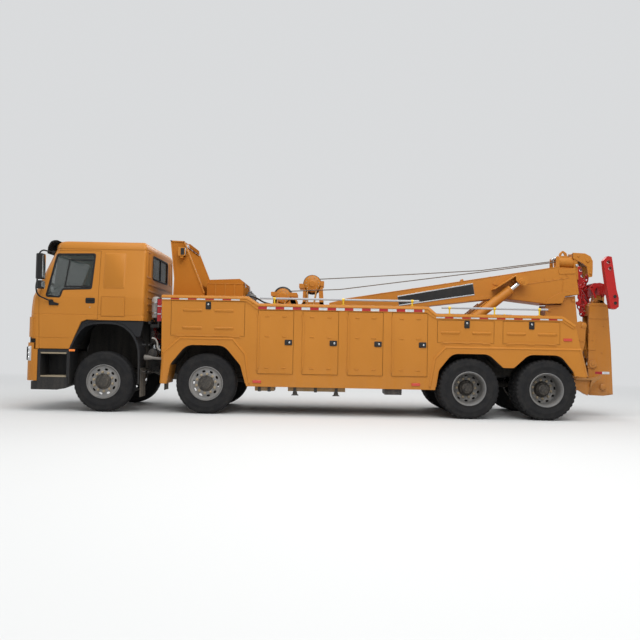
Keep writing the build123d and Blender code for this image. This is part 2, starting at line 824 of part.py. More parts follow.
def hinge_run(upright, hand, at, start, stop, towards):
    """Strap from a hinge line onto a panel; towards says on which side of the line the panel lies."""
    y_root = sorted((hand * (body_half - 5), hand * (hinge_y + 3)))
    y_leaf = sorted((hand * (body_half + 1), hand * (hinge_y + 3)))
    near = sorted((at + towards * 5, at + towards * strap))
    leaf = sorted((at, at + towards * strap))
    if upright:
        box_between((near[0], y_root[0], start), (near[1], y_root[1], stop))
        box_between((leaf[0], y_leaf[0], start), (leaf[1], y_leaf[1], stop))
    else:
        box_between((start, y_root[0], near[0]), (stop, y_root[1], near[1]))
        box_between((start, y_leaf[0], leaf[0]), (stop, y_leaf[1], leaf[1]))


def hinge_round(upright, hand, at, start, stop, radius, mode=Mode.ADD):
    """Round bar on a hinge line, upright at a station or level at a height."""
    plane = level(start) if upright else cross(start)
    centre = (at, hand * hinge_y) if upright else (hand * hinge_y, at)
    with BuildSketch(plane) as bar:
        with Locations(centre):
            Circle(radius)
    extrude(bar.sketch, amount=stop - start, mode=mode)


def door_leaf(upright, hand, at, start, stop):
    """Door's half of its hinge, bored for the pin."""
    hinge_run(upright, hand, at, start, stop, 1)
    hinge_round(upright, hand, at, start, stop, hinge_r)
    hinge_round(upright, hand, at, start, stop, pin_r + running_gap, Mode.SUBTRACT)


def body_leaves(upright, hand, at, start, stop):
    """Body's half of a hinge: a pin through the door's leaf, held at both ends."""
    block_out = hinge_play + end_block
    for low, high in ((start - block_out, start - hinge_play), (stop + hinge_play, stop + block_out)):
        hinge_run(upright, hand, at, low, high, -1)
    hinge_round(upright, hand, at, start - hinge_play - end_block, stop + hinge_play + end_block, pin_r)


def tall_hinge():
    """Start and stop heights of a tall door's hinge leaf."""
    return tall_low + 90, tall_high - 90


def drop_hinge(front, rear):
    """Start and stop stations of a drop-down door's hinge leaf."""
    return front + 90, rear - 90


for name, hand in door_names:
    with BuildPart() as locker:
        with BuildSketch(side(hand * body_half)):
            outline(*body_outline)
        extrude(amount=hand * (body_half - locker_inner))
        for flare in flares:
            with BuildSketch(side(hand * (body_half + flare_proud))):
                outline(*flare)
            extrude(amount=hand * (flare_proud + 5))
        cut_arches(hand, body_half + flare_proud + 5, body_half + flare_proud - locker_inner + 10)
        for front, rear, low, high in hollows:
            y = sorted((hand * (body_half - skin_t), hand * (locker_inner + inner_t)))
            box_between((front, y[0], low), (rear, y[1], high), Mode.SUBTRACT)
        for door_name, front, rear in tall_doors:
            y = sorted((hand * (body_half + 5), hand * (body_half - skin_t - 5)))
            box_between(
                (front - door_gap, y[0], tall_low - door_gap),
                (rear + door_gap, y[1], tall_high + door_gap),
                Mode.SUBTRACT,
            )
        for door_name, front, rear, low, high in drop_doors:
            box_between(
                (front - door_gap, y[0], low - door_gap),
                (rear + door_gap, y[1], high + door_gap),
                Mode.SUBTRACT,
            )
        with BuildSketch(side(hand * (body_half + cap_proud))):
            outline(*body_top, *[(x, z - cap_h) for x, z in reversed(body_top)])
        extrude(amount=hand * (cap_proud + 5))
        for door_name, front, rear in tall_doors:
            body_leaves(True, hand, front - door_gap / 2, *tall_hinge())
        for door_name, front, rear, low, high in drop_doors:
            body_leaves(False, hand, low - door_gap / 2, *drop_hinge(front, rear))
    finish(locker.part, f"locker_body_{name}")

    for door_name, front, rear in tall_doors:
        with BuildPart() as door:
            y = sorted((hand * body_half, hand * (body_half - skin_t)))
            box_between((front, y[0], tall_low), (rear, y[1], tall_high))
            door_leaf(True, hand, front - door_gap / 2, *tall_hinge())
        finish(door.part, f"door_{door_name}_{name}")
    for door_name, front, rear, low, high in drop_doors:
        with BuildPart() as door:
            y = sorted((hand * body_half, hand * (body_half - skin_t)))
            box_between((front, y[0], low), (rear, y[1], high))
            door_leaf(False, hand, low - door_gap / 2, *drop_hinge(front, rear))
        finish(door.part, f"door_{door_name}_{name}")

# Deck between the lockers: front decks, the boom well and the cross bulkheads that stand on the sub-frame
deck_t = 30.0
well_z = 1560.0
well_front = 3860.0
bulkheads = [1045.0, 2620.0, 3845.0, 5740.0, 8200.0]
cylinder_slot = (5965.0, 6570.0, 312.0, 488.0)
with BuildPart() as deck:
    with BuildSketch(side(0)):
        outline(
            (body_front, top_front), (2512, top_front), (2698, top_mid), (well_front, top_mid),
            (well_front, well_z + deck_t), (8220, well_z + deck_t),
            (8220, well_z), (well_front - deck_t, well_z),
            (well_front - deck_t, top_mid - deck_t), (2690, top_mid - deck_t), (2504, top_front - deck_t),
            (body_front, top_front - deck_t),
        )
    extrude(amount=locker_inner, both=True)
    for station in bulkheads:
        roof = well_z if station > well_front else (top_mid if station > 2600 else top_front) - deck_t
        box_between((station - 15, -locker_inner, subframe_high), (station + 15, locker_inner, roof + 5))
    for hand in (-1, 1):
        front, rear, near, far = cylinder_slot
        y = sorted((hand * near, hand * far))
        box_between((front, y[0], well_z - 10), (rear, y[1], well_z + deck_t + 10), Mode.SUBTRACT)
finish(deck.part, "deck")

liner_lows = (850.0, 840.0)
with BuildPart() as arch_liners:
    for hand in (-1, 1):
        for arch, low in zip((front_arch, rear_arch), liner_lows):
            with BuildSketch(side(hand * (body_half - 10))):
                add(arch_opening(arch))
                add(arch_opening(arch, liner_t), mode=Mode.SUBTRACT)
                with Locations((arch[0][0], 0)):
                    Rectangle(4000, low, align=(Align.MIN, Align.MIN), mode=Mode.SUBTRACT)
            extrude(amount=hand * (body_half - 10 - locker_inner))
finish(arch_liners.part, "arch_liners")

# Hand rails on the deck edge: one rail on round posts over each level
rail_y = 1200.0
rail_r = 18.0
post_r = 14.0
rails = [
    # front, rear, rail height, deck height, post stations
    (2720.0, 5510.0, 2044.0, top_mid, (2974.0, 4181.0, 5388.0)),
    (5906.0, 7770.0, 1938.0, top_rear, (6044.0, 6832.0, 7617.0)),
]
with BuildPart() as deck_rails:
    for hand in (-1, 1):
        for front, rear, rail_z, foot_z, posts in rails:
            with BuildSketch(cross(front)):
                with Locations((hand * rail_y, rail_z)):
                    Circle(rail_r)
            extrude(amount=rear - front)
            for station in posts:
                with BuildSketch(level(foot_z)):
                    with Locations((station, hand * rail_y)):
                        Circle(post_r)
                extrude(amount=rail_z - foot_z)
finish(deck_rails.part, "deck_rails")

# Gantry behind the cab with its sloping back plate, lamp bar and work lamps, and the deck box behind it
gantry_half = 774.0
gantry_t = 20.0
lamp_w = 90.0
shelf_w = 150.0
gantry_outline = [
    (1105, top_front), (1117, 2400), (1037, 3088), (1286, 3078), (1673, 2147), (1673, top_front),
]
gantry_opening = [(1180, 2180), (1180, 2420), (1120, 2990), (1230, 2985), (1560, 2180)]
box_front = 1690.0
with BuildPart() as gantry:
    for hand in (-1, 1):
        with BuildSketch(side(hand * gantry_half)):
            outline(*gantry_outline)
        extrude(amount=hand * gantry_t)
        lamp_y = sorted((hand * gantry_half, hand * (gantry_half + lamp_w)))
        shelf_y = sorted((hand * gantry_half, hand * (gantry_half + shelf_w)))
        box_between((1225, lamp_y[0], 2800), (1315, lamp_y[1], 2955))
        box_between((1240, shelf_y[0], 2760), (1300, shelf_y[1], 2790))
        stem = sorted((hand * (gantry_half + 60), hand * (gantry_half + 90)))
        box_between((1255, stem[0], 2785), (1285, stem[1], 2805))
    with BuildSketch(side(0)):
        outline(
            (1125, 2420), (1060, 3000), (1060, 3088), (1286, 3078),
            (1286, 3040), (1100, 3045), (1105, 3000), (1165, 2420),
        )
    extrude(amount=gantry_half - gantry_t, both=True)
    with BuildSketch(side(0)):
        outline(
            (1260, 3040), (1286, 3045), (1600, 2300),
            (1600, top_front), (1575, top_front), (1575, 2290),
        )
    extrude(amount=gantry_half - gantry_t, both=True)
    box_between((1280, -500, 3000), (1340, 500, 3070))
    with BuildSketch(side(0)):
        outline((box_front, top_front), (box_front, 2400), (2290, 2430), (2360, 2380), (2360, top_front))
    extrude(amount=620, both=True)
finish(gantry.part, "gantry")

# Two winches: drums between flanges in open frames
drum_core_r = 110.0
winch_t = 25.0
winches_table = [
    # station, side, drum height, flange radius, half width, foot height
    (3087.0, -350.0, 2130.0, 175.0, 230.0, top_mid),
    (3615.0, 300.0, 2420.0, 175.0, 230.0, top_mid),
]
with BuildPart() as winches:
    for station, y, z, flange, half, foot in winches_table:
        with BuildSketch(axle_line(station, y, z)):
            Circle(drum_core_r)
        extrude(amount=half, both=True)
        for end in (-1, 1):
            with BuildSketch(axle_line(station, y + end * (half - 15), z)):
                Circle(flange)
            extrude(amount=12, both=True)
            with BuildSketch(side(y + end * (half + winch_t / 2))):
                outline(
                    (station - 240, foot), (station - 240, z - 40),
                    (station - 130, z + 180), (station + 130, z + 180),
                    (station + 240, z - 40), (station + 240, foot),
                )
            extrude(amount=winch_t / 2, both=True)
        box_between((station - 240, y - half - 10, foot), (station - 215, y + half + 10, z - 90))
        box_between((station + 215, y - half - 10, foot), (station + 240, y + half + 10, z - 90))
        box_between((station - 120, y - half - 10, z + 178), (station + 120, y + half + 10, z + 190))
        with BuildSketch(axle_line(station, y + half + winch_t, z)):
            Circle(130)
        extrude(amount=140)
finish(winches.part, "winches")

# Tanks and reservoirs slung under the lockers
tank_table = [
    # front, rear, low, foot width
    (2661.0, 2996.0, 423.0),
    (3238.0, 4242.0, 427.0),
    (4936.0, 5221.0, 404.0),
]
tank_y = 950.0
with BuildPart() as tanks:
    for front, rear, low in tank_table:
        for hand in (-1, 1):
            with BuildSketch(cross(front)):
                outline(
                    (hand * (tank_y - 230), sill_z), (hand * (tank_y + 230), sill_z),
                    (hand * (tank_y + 230), low + 30),
                    (hand * (tank_y + 200), low), (hand * (tank_y - 200), low), (hand * (tank_y - 230), low + 30),
                )
            extrude(amount=rear - front)
finish(tanks.part, "tanks")

# Boom: slope and pivot at rest, then the box in its own lengthwise and upward distances
boom_x = 4080.0
boom_z = 1895.0
boom_rise = 9.64
boom_half = 270.0
boom_wall = 16.0
boom_pin_r = 45.0


def along(u, v):
    """Side-view point at u along the boom from its pivot and v above the pivot line, at rest."""
    a = radians(boom_rise)
    return (boom_x + u * cos(a) - v * sin(a), boom_z + u * sin(a) + v * cos(a))


boom_outline = [
    (-130, -60), (-130, 60), (-108, 167), (256, 197), (4240, 197), (4280, 130), (4578, 125), (4566, -378),
    (4304, -368), (4225, -499), (3925, -463), (3232, -264), (2905, -215), (1631, -162), (0, -130),
]
boom_hollow = [
    (320, -120), (320, 181), (4224, 181), (4270, 114),
    (4600, 110), (4600, -362), (4312, -352), (4230, -480),
    (3930, -447), (3240, -248), (2905, -199), (1631, -146),
]
ext_half = 205.0
ext_low = -90.0
ext_high = 105.0
ext_wall = 12.0
ext_front = 1050.0
ext_rear = 4600.0
cyl_y = 400.0
cyl_top = (7500.0, 2498.0)
cyl_foot = (6052.0, 1300.0)
cyl_eye_half = 50.0
eye_play = 8.0
eye_cover = [(6992, 2345), (7400, 2612), (7624, 2590), (7620, 2575), (7405, 2597), (7000, 2332)]
eye_cheek = [(7392, 2592), (7405, 2612), (7624, 2590), (7632, 2470), (7566, 2418), (7478, 2426), (7400, 2510)]
eye_cheek_in = 482.0
eye_cheek_t = 12.0
with BuildPart() as boom:
    with BuildSketch(side(0)):
        outline(*[along(u, v) for u, v in boom_outline])
    extrude(amount=boom_half, both=True)
    with BuildSketch(side(0)):
        outline(*[along(u, v) for u, v in boom_hollow])
    extrude(amount=boom_half - boom_wall, both=True, mode=Mode.SUBTRACT)
    with BuildSketch(side(0)):
        with Locations((boom_x, boom_z)):
            Circle(boom_pin_r + running_gap)
    extrude(amount=boom_half + 10, both=True, mode=Mode.SUBTRACT)
    with BuildSketch(side(0)):
        outline(
            along(4400, -350), along(4400, ext_low - seat_gap),
            along(4560, ext_low - seat_gap), along(4560, -350),
        )
    extrude(amount=ext_half - 40, both=True)
    for hand in (-1, 1):
        with BuildSketch(axle_line(cyl_top[0], hand * (boom_half - 5), cyl_top[1], hand)):
            Circle(62)
        extrude(amount=cyl_y - cyl_eye_half - eye_play - boom_half + 5)
        with BuildSketch(side(hand * (boom_half - 5))):
            outline(*eye_cover)
        extrude(amount=-hand * (eye_cheek_in - boom_half + 5 + eye_cheek_t))
        with BuildSketch(side(hand * eye_cheek_in)):
            outline(*eye_cheek)
        extrude(amount=-hand * eye_cheek_t)
finish(boom.part, "boom")

sheave_z = 2948.0
sheave_x = 8850.0
with BuildPart() as boom_ext:
    with BuildSketch(side(0)):
        outline(
            along(ext_front, ext_low), along(ext_front, ext_high),
            along(ext_rear, ext_high), along(ext_rear, ext_low),
        )
    extrude(amount=ext_half, both=True)
    with BuildSketch(side(0)):
        outline(
            along(ext_front - 10, ext_low + ext_wall), along(ext_front - 10, ext_high - ext_wall),
            along(ext_rear - 20, ext_high - ext_wall), along(ext_rear - 20, ext_low + ext_wall),
        )
    extrude(amount=ext_half - ext_wall, both=True, mode=Mode.SUBTRACT)
    with BuildSketch(side(0)):
        outline(
            along(ext_front, ext_high), along(ext_front, 181 - seat_gap),
            along(ext_front + 120, 181 - seat_gap), along(ext_front + 120, ext_high),
        )
    extrude(amount=150, both=True)
    with BuildSketch(side(0)):
        outline(
            along(ext_rear, ext_low), along(ext_rear, ext_high), (8590, 3090),
            (8650, 3090), along(ext_rear + 50, ext_low),
        )
    extrude(amount=130, both=True)
    with BuildSketch(cross(8289)):
        with Locations((0, 2915)):
            Circle(112)
    extrude(amount=310)
    for hand in (-1, 1):
        with BuildSketch(side(hand * 130)):
            outline(
                (8571, 2985), (8571, 3095), (8800, 3085), (8900, 3030),
                (8943, 2940), (8943, 2780), (8935, 2640),
                (8870, 2630), (8840, 2830), (8750, 2900),
            )
        extrude(amount=hand * 25)
    for y in (-55, 55):
        with BuildSketch(axle_line(sheave_x, y, sheave_z)):
            Circle(85)
        extrude(amount=30, both=True)
    with BuildSketch(axle_line(sheave_x, 0, sheave_z)):
        Circle(30)
    extrude(amount=130, both=True)
    with BuildSketch(side(0)):
        outline(
            (8350, 3015), (8400, 3140), (8440, 3140), (8500, 3015),
            (8475, 3015), (8425, 3115), (8412, 3115), (8375, 3015),
        )
    extrude(amount=15, both=True)
finish(boom_ext.part, "boom_ext")

# Lift cylinders, one each side of the boom, drawn along their own line from foot pin to boom pin
barrel_r = 75.0
rod_r = 45.0
lift_closed = hypot(cyl_top[0] - cyl_foot[0], cyl_top[1] - cyl_foot[1])
lift_angle = atan2(cyl_top[1] - cyl_foot[1], cyl_top[0] - cyl_foot[0])
barrel_len = lift_closed - 230.0


def cylinder_plane(pin, angle, y, out):
    """Plane square to a cylinder's line at a distance out from its pin."""
    return Plane(
        origin=(origin_shift + pin[0] + out * cos(angle), y, pin[1] + out * sin(angle)),
        x_dir=(0, 1, 0),
        z_dir=(cos(angle), 0, sin(angle)),
    )


foot_pin_r = 35.0
barrel_start = 110.0
with BuildPart() as lift_barrels:
    for hand in (-1, 1):
        y = hand * cyl_y
        with BuildSketch(cylinder_plane(cyl_foot, lift_angle, y, barrel_start)):
            Circle(barrel_r)
        extrude(amount=barrel_len - barrel_start)
        with BuildSketch(cylinder_plane(cyl_foot, lift_angle, y, 45)):
            Circle(42)
        extrude(amount=barrel_start)
        with BuildSketch(axle_line(cyl_foot[0], y, cyl_foot[1])):
            Circle(70)
        extrude(amount=cyl_eye_half, both=True)
        with BuildSketch(axle_line(cyl_foot[0], y, cyl_foot[1])):
            Circle(foot_pin_r + running_gap)
        extrude(amount=cyl_eye_half + 60, both=True, mode=Mode.SUBTRACT)
        with BuildSketch(cylinder_plane(cyl_foot, lift_angle, y, 150)):
            Circle(rod_r + running_gap)
        extrude(amount=barrel_len, mode=Mode.SUBTRACT)
finish(lift_barrels.part, "lift_barrels")

with BuildPart() as lift_rods:
    for hand in (-1, 1):
        y = hand * cyl_y
        with BuildSketch(cylinder_plane(cyl_foot, lift_angle, y, 160)):
            Circle(rod_r)
        extrude(amount=lift_closed - 160 - 30)
        with BuildSketch(axle_line(cyl_top[0], y, cyl_top[1])):
            Circle(60)
        extrude(amount=cyl_eye_half, both=True)
        with BuildSketch(axle_line(cyl_top[0], y, cyl_top[1])):
            Circle(36)
        extrude(amount=cyl_eye_half + 5, both=True, mode=Mode.SUBTRACT)
finish(lift_rods.part, "lift_rods")

# Boom pivot brackets, cylinder feet, rest post and the tail frame that carries the underlift
arm_pivot = (9130.0, 560.0)
arm_pin_r = 40.0
fold_top = (8760.0, 1700.0)
fold_foot = (8940.0, 983.0)
fold_pin_r = 25.0
tail_half = 200.0
tail_t = 25.0
rest_post = [
    (8035, well_z + deck_t), (8035, 2082), (8326, 2094),
    (8396, 2238), (8592, 2266), (8640, 1770), (8600, 1640),
    (8560, 1500), (8222, 1500), (8222, well_z + deck_t),
]
lug_half = 95.0
foot_play = 2.0
foot_plate_t = 30.0
fold_boss_in = 56.0
with BuildPart() as tail_frame:
    for hand in (-1, 1):
        with BuildSketch(side(hand * (boom_half + part_gap + 40))):
            outline(
                (well_front + 20, well_z + deck_t), (3990, 1980), (4170, 1980), (4500, well_z + deck_t),
            )
        extrude(amount=hand * 40)
        inside, outside = cyl_y - cyl_eye_half - foot_play, cyl_y + cyl_eye_half + foot_play
        for near, far in ((inside - foot_plate_t, inside), (outside, outside + foot_plate_t)):
            with BuildSketch(side(hand * far)):
                outline(
                    (5920, subframe_high), (5998, 1328), (6052, 1360),
                    (6106, 1328), (6180, subframe_high),
                )
            extrude(amount=hand * (far - near))
        base = sorted((hand * (cyl_y - cyl_eye_half - 32), hand * (cyl_y + cyl_eye_half + 32)))
        box_between((5880, base[0], subframe_high), (6240, base[1], subframe_high + 20))
        with BuildSketch(axle_line(cyl_foot[0], hand * (cyl_y - cyl_eye_half - 32), cyl_foot[1], hand)):
            Circle(foot_pin_r)
        extrude(amount=2 * cyl_eye_half + 64)
        with BuildSketch(side(hand * tail_half)):
            outline(
                (8240, 640), (8560, 640), (8700, 1000), (8790, 1400),
                (8810, 1760), (8700, 1790), (8600, 1760),
                (8450, 1250), (8240, 1250),
            )
        extrude(amount=hand * tail_t)
        with BuildSketch(side(hand * lug_half)):
            outline(
                (8350, 480), (8350, 900), (8650, 900), (8850, 640),
                (9110, 640), (9190, 600), (9190, 520), (9110, 480),
            )
        extrude(amount=hand * 35)
        with BuildSketch(axle_line(fold_top[0], hand * fold_boss_in, fold_top[1], hand)):
            Circle(60)
        extrude(amount=tail_half - fold_boss_in)
        with BuildSketch(side(hand * tail_half)):
            outline(*rest_post)
        extrude(amount=hand * tail_t)
    box_between((8050, -tail_half + tail_t, well_z + deck_t), (8075, tail_half - tail_t, 2070))
    box_between((8560, -tail_half + tail_t, 1700), (8585, tail_half - tail_t, 2240))
    box_between((8350, -tail_half, 640), (8560, tail_half, 700))
    box_between((8300, -(frame_web - channel_t), 780), (8380, frame_web - channel_t, 1000))
    box_between((8350, -lug_half, 480), (8380, lug_half, 900))
    box_between((8350, -tail_half, 1150), (8440, tail_half, 1240))
    with BuildSketch(axle_line(fold_top[0], 0, fold_top[1])):
        Circle(fold_pin_r)
    extrude(amount=60, both=True)
    with BuildSketch(axle_line(arm_pivot[0], 0, arm_pivot[1])):
        Circle(arm_pin_r)
    extrude(amount=150, both=True)
    with BuildSketch(axle_line(boom_x, 0, boom_z)):
        Circle(boom_pin_r)
    extrude(amount=boom_half + part_gap + 60, both=True)
    for hand in (-1, 1):
        with BuildSketch(side(hand * 330)):
            outline(
                (8440, 560), (8547, 527), (8794, 399), (8830, 560),
                (8972, 680), (8972, 700), (8546, 700), (8440, 760),
            )
        extrude(amount=hand * 40)
    box_between((8440, -330, 600), (8520, 330, 700))
finish(tail_frame.part, "tail_frame")

# Underlift: the folding arm, its sliding neck and the crossbar with its two uprights
arm_half = 165.0
arm_wall = 50.0
arm_outline = [
    (8850, 420), (8866, 700), (8866, 2085), (9232, 2085),
    (9292, 1280), (rear_reach, 416), (9150, 388), (8900, 395),
]
neck_front = 9075.0
neck_rear = 9195.0
neck_low = 1250.0
neck_half = 80.0
arm_tilt = radians(3.43)


def up_arm(dx, z):
    """Side-view point beside the neck's line, which leans forward as it rises."""
    return (dx - (z - 2085) * tan(arm_tilt), z)


with BuildPart() as underlift_arm:
    with BuildSketch(side(0)):
        outline(*arm_outline)
    extrude(amount=arm_half, both=True)
    with BuildSketch(side(0)):
        outline((8800, 300), (8800, 1900), (9010, 1900), (9240, 1250), (9275, 460), (9275, 300))
    extrude(amount=arm_half - arm_wall, both=True, mode=Mode.SUBTRACT)
    with BuildSketch(side(0)):
        outline(
            up_arm(neck_front, 1200), up_arm(neck_rear, 1200),
            up_arm(neck_rear, 2200), up_arm(neck_front, 2200),
        )
        offset(amount=seat_gap, kind=Kind.INTERSECTION)
    extrude(amount=neck_half + seat_gap, both=True, mode=Mode.SUBTRACT)
    with BuildSketch(side(0)):
        with Locations(arm_pivot):
            Circle(arm_pin_r + running_gap)
    extrude(amount=arm_half + 10, both=True, mode=Mode.SUBTRACT)
    for hand in (-1, 1):
        with BuildSketch(axle_line(fold_foot[0], hand * (arm_half - 5), fold_foot[1], hand)):
            Circle(75)
        extrude(amount=40)
finish(underlift_arm.part, "underlift_arm")

crossbar_front = 9010.0
crossbar_rear = 9150.0
crossbar_low = 2288.0
crossbar_high = 2516.0
upright_y = 700.0
upright_holes = [(9000, 2850), (9030, 2735), (9120, 2225), (9130, 2105)]
upright_hole_r = 30.0
swivel_z = 2400.0
swivel_r = 50.0
with BuildPart() as underlift_ext:
    with BuildSketch(side(0)):
        outline(
            up_arm(neck_front, neck_low), up_arm(neck_rear, neck_low),
            up_arm(neck_rear, 2200), up_arm(neck_front, 2200),
        )
    extrude(amount=neck_half, both=True)
    box_between((9100, -60, 2095), (9200, 60, 2200))
    box_between((crossbar_rear + part_gap, -60, 2095), (9200, 60, 2470))
    with BuildSketch(cross(crossbar_front - 5)):
        with Locations((0, swivel_z)):
            Circle(swivel_r)
    extrude(amount=9200 - crossbar_front)
finish(underlift_ext.part, "underlift_ext")

with BuildPart() as crossbar:
    box_between((crossbar_front, -upright_y, crossbar_low), (crossbar_rear, upright_y, crossbar_high))
    with BuildSketch(cross(crossbar_front - 5)):
        with Locations((0, swivel_z)):
            Circle(swivel_r + running_gap)
    extrude(amount=crossbar_rear - crossbar_front + 10, mode=Mode.SUBTRACT)
    for hand in (-1, 1):
        with BuildSketch(side(hand * (upright_y + 60))):
            outline(
                (8912, 2880), (8985, 2963), (9060, 2950), (9150, 2350),
                (9191, 2200), (9191, 2040), (9130, 1993),
                (9040, 2010), (8990, 2300), (8930, 2700),
            )
            with Locations(*upright_holes):
                Circle(upright_hole_r, mode=Mode.SUBTRACT)
        extrude(amount=hand * 120)
finish(crossbar.part, "crossbar")

# Fold cylinder between the tail frame and the arm
fold_closed = hypot(fold_foot[0] - fold_top[0], fold_foot[1] - fold_top[1])
fold_angle = atan2(fold_foot[1] - fold_top[1], fold_foot[0] - fold_top[0])
fold_barrel_r = 50.0
fold_rod_r = 28.0
with BuildPart() as fold_barrel:
    with BuildSketch(cylinder_plane(fold_top, fold_angle, 0, 40)):
        Circle(fold_barrel_r)
    extrude(amount=fold_closed - 160)
    with BuildSketch(axle_line(fold_top[0], 0, fold_top[1])):
        Circle(50)
    extrude(amount=30, both=True)
    with BuildSketch(axle_line(fold_top[0], 0, fold_top[1])):
        Circle(fold_pin_r + running_gap)
    extrude(amount=60, both=True, mode=Mode.SUBTRACT)
    with BuildSketch(cylinder_plane(fold_top, fold_angle, 0, 80)):
        Circle(fold_rod_r + running_gap)
    extrude(amount=fold_closed, mode=Mode.SUBTRACT)
finish(fold_barrel.part, "fold_barrel")

with BuildPart() as fold_rod:
    with BuildSketch(cylinder_plane(fold_top, fold_angle, 0, 85)):
        Circle(fold_rod_r)
    extrude(amount=fold_closed - 85 - 30)
    with BuildSketch(axle_line(fold_foot[0], 0, fold_foot[1])):
        Circle(48)
    extrude(amount=30, both=True)
    with BuildSketch(axle_line(fold_foot[0], 0, fold_foot[1])):
        Circle(25)
    extrude(amount=35, both=True, mode=Mode.SUBTRACT)
finish(fold_rod.part, "fold_rod")
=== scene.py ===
import bpy
import bmesh
from math import cos, pi, radians, sin, sqrt
from mathutils import Matrix, Vector


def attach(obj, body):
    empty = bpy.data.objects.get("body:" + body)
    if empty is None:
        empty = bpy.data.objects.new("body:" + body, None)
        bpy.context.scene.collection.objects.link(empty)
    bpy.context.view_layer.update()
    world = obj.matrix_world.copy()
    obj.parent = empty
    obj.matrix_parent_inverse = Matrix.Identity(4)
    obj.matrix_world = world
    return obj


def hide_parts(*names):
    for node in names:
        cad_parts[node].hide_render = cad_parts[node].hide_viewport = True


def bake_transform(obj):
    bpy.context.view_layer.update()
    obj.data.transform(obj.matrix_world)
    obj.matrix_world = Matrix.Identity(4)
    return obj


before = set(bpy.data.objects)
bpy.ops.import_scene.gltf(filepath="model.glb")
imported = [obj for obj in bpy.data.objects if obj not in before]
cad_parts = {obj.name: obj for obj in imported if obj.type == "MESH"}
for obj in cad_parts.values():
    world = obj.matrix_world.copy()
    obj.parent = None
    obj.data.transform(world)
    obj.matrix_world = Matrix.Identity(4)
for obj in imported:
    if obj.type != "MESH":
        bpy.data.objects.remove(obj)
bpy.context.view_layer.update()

# Studio: a pale floor that curves up into a backdrop, and the camera where the photographer stood.
# Places are given as on the truck's drawing: millimetres back from the first axle, out from the centre line to
# the right-hand side, and up from the ground.
MID_STATION = 3983


def at(x, y, z):
    return Vector(((x - MID_STATION) / 1000, y / 1000, z / 1000))


view = bpy.data.cameras.new("photo_camera")
view.lens = 719.6 / 640 * 36
view.clip_end = 300
camera = bpy.data.objects.new("photo_camera", view)
bpy.context.scene.collection.objects.link(camera)
camera.matrix_world = (
    Matrix.Translation(at(3799.25, -13799.7, 1239.9))
    @ Matrix.Rotation(0.0016975, 4, "Z")
    @ Matrix.Rotation(0.0350757, 4, "X")
    @ Matrix.Rotation(-0.0192463, 4, "Y")
    @ Matrix.Rotation(pi / 2, 4, "X")
)
bpy.context.scene.camera = camera
bpy.context.scene.view_settings.view_transform = "Standard"


class Wire:
    """A shader socket in sums: each operator adds the Math node it stands for."""

    def __init__(self, finish, socket):
        self.finish, self.socket = finish, socket

    def sum(self, operation, first, second):
        return self.finish.node("ShaderNodeMath", {"operation": operation}, {0: first, 1: second})

    def __add__(self, other):
        return self.sum("ADD", self, other)

    def __radd__(self, other):
        return self.sum("ADD", other, self)

    def __sub__(self, other):
        return self.sum("SUBTRACT", self, other)

    def __rsub__(self, other):
        return self.sum("SUBTRACT", other, self)

    def __mul__(self, other):
        return self.sum("MULTIPLY", self, other)

    def __rmul__(self, other):
        return self.sum("MULTIPLY", other, self)

    def held(self):
        """The same value kept between 0 and 1."""
        return self.finish.node("ShaderNodeClamp", {}, {0: self})


class Finish:
    """A surface finish: a Principled material, and one call for any node that feeds it."""

    def __init__(self, name, constants):
        self.material = bpy.data.materials.new(name)
        self.material.use_nodes = True
        self.shader = self.material.node_tree.nodes["Principled BSDF"]
        for socket, value in constants.items():
            self.shader.inputs[socket].default_value = value

    def node(self, kind, settings, values, out=0):
        made = self.material.node_tree.nodes.new(kind)
        for key, value in settings.items():
            if key == "stops":
                for stop, (place, shade) in zip(made.color_ramp.elements, value):
                    stop.position, stop.color = place, (shade, shade, shade, 1)
            else:
                setattr(made, key, value)
        for socket, value in values.items():
            if isinstance(value, Wire):
                self.material.node_tree.links.new(value.socket, made.inputs[socket])
            else:
                made.inputs[socket].default_value = value
        return Wire(self, made.outputs[out])

    def place(self):
        return self.node("ShaderNodeTexCoord", {}, {}, "Object")

    def noise(self, place, scale, detail=3.0, stretch=None):
        if stretch:
            place = self.node("ShaderNodeVectorMath", {"operation": "MULTIPLY"}, {0: place, 1: stretch})
        return self.node("ShaderNodeTexNoise", {}, {"Vector": place, "Scale": scale, "Detail": detail})

    def step(self, value, low, high):
        """0 below low and 1 above high, with a soft change between them."""
        return self.node("ShaderNodeValToRGB", {"stops": ((low, 0.0), (high, 1.0))}, {"Fac": value})

    def blend(self, share, first, second):
        return self.node("ShaderNodeMix", {"data_type": "RGBA"}, {0: share, 6: first, 7: second}, 2)

    def feed(self, **sockets):
        for socket, value in sockets.items():
            self.material.node_tree.links.new(value.socket, self.shader.inputs[socket.replace("_", " ")])

    def bumps(self, *heights, edge=0.0):
        """Bump nodes in a row, each from a height and its depth in metres, over edges softened by a radius."""
        normal = self.node("ShaderNodeBevel", {"samples": 4}, {"Radius": edge}) if edge else None
        for height, depth in heights:
            values = {"Height": height, "Distance": depth, "Strength": 1.0}
            if normal:
                values["Normal"] = normal
            normal = self.node("ShaderNodeBump", {}, values)
        self.feed(Normal=normal)


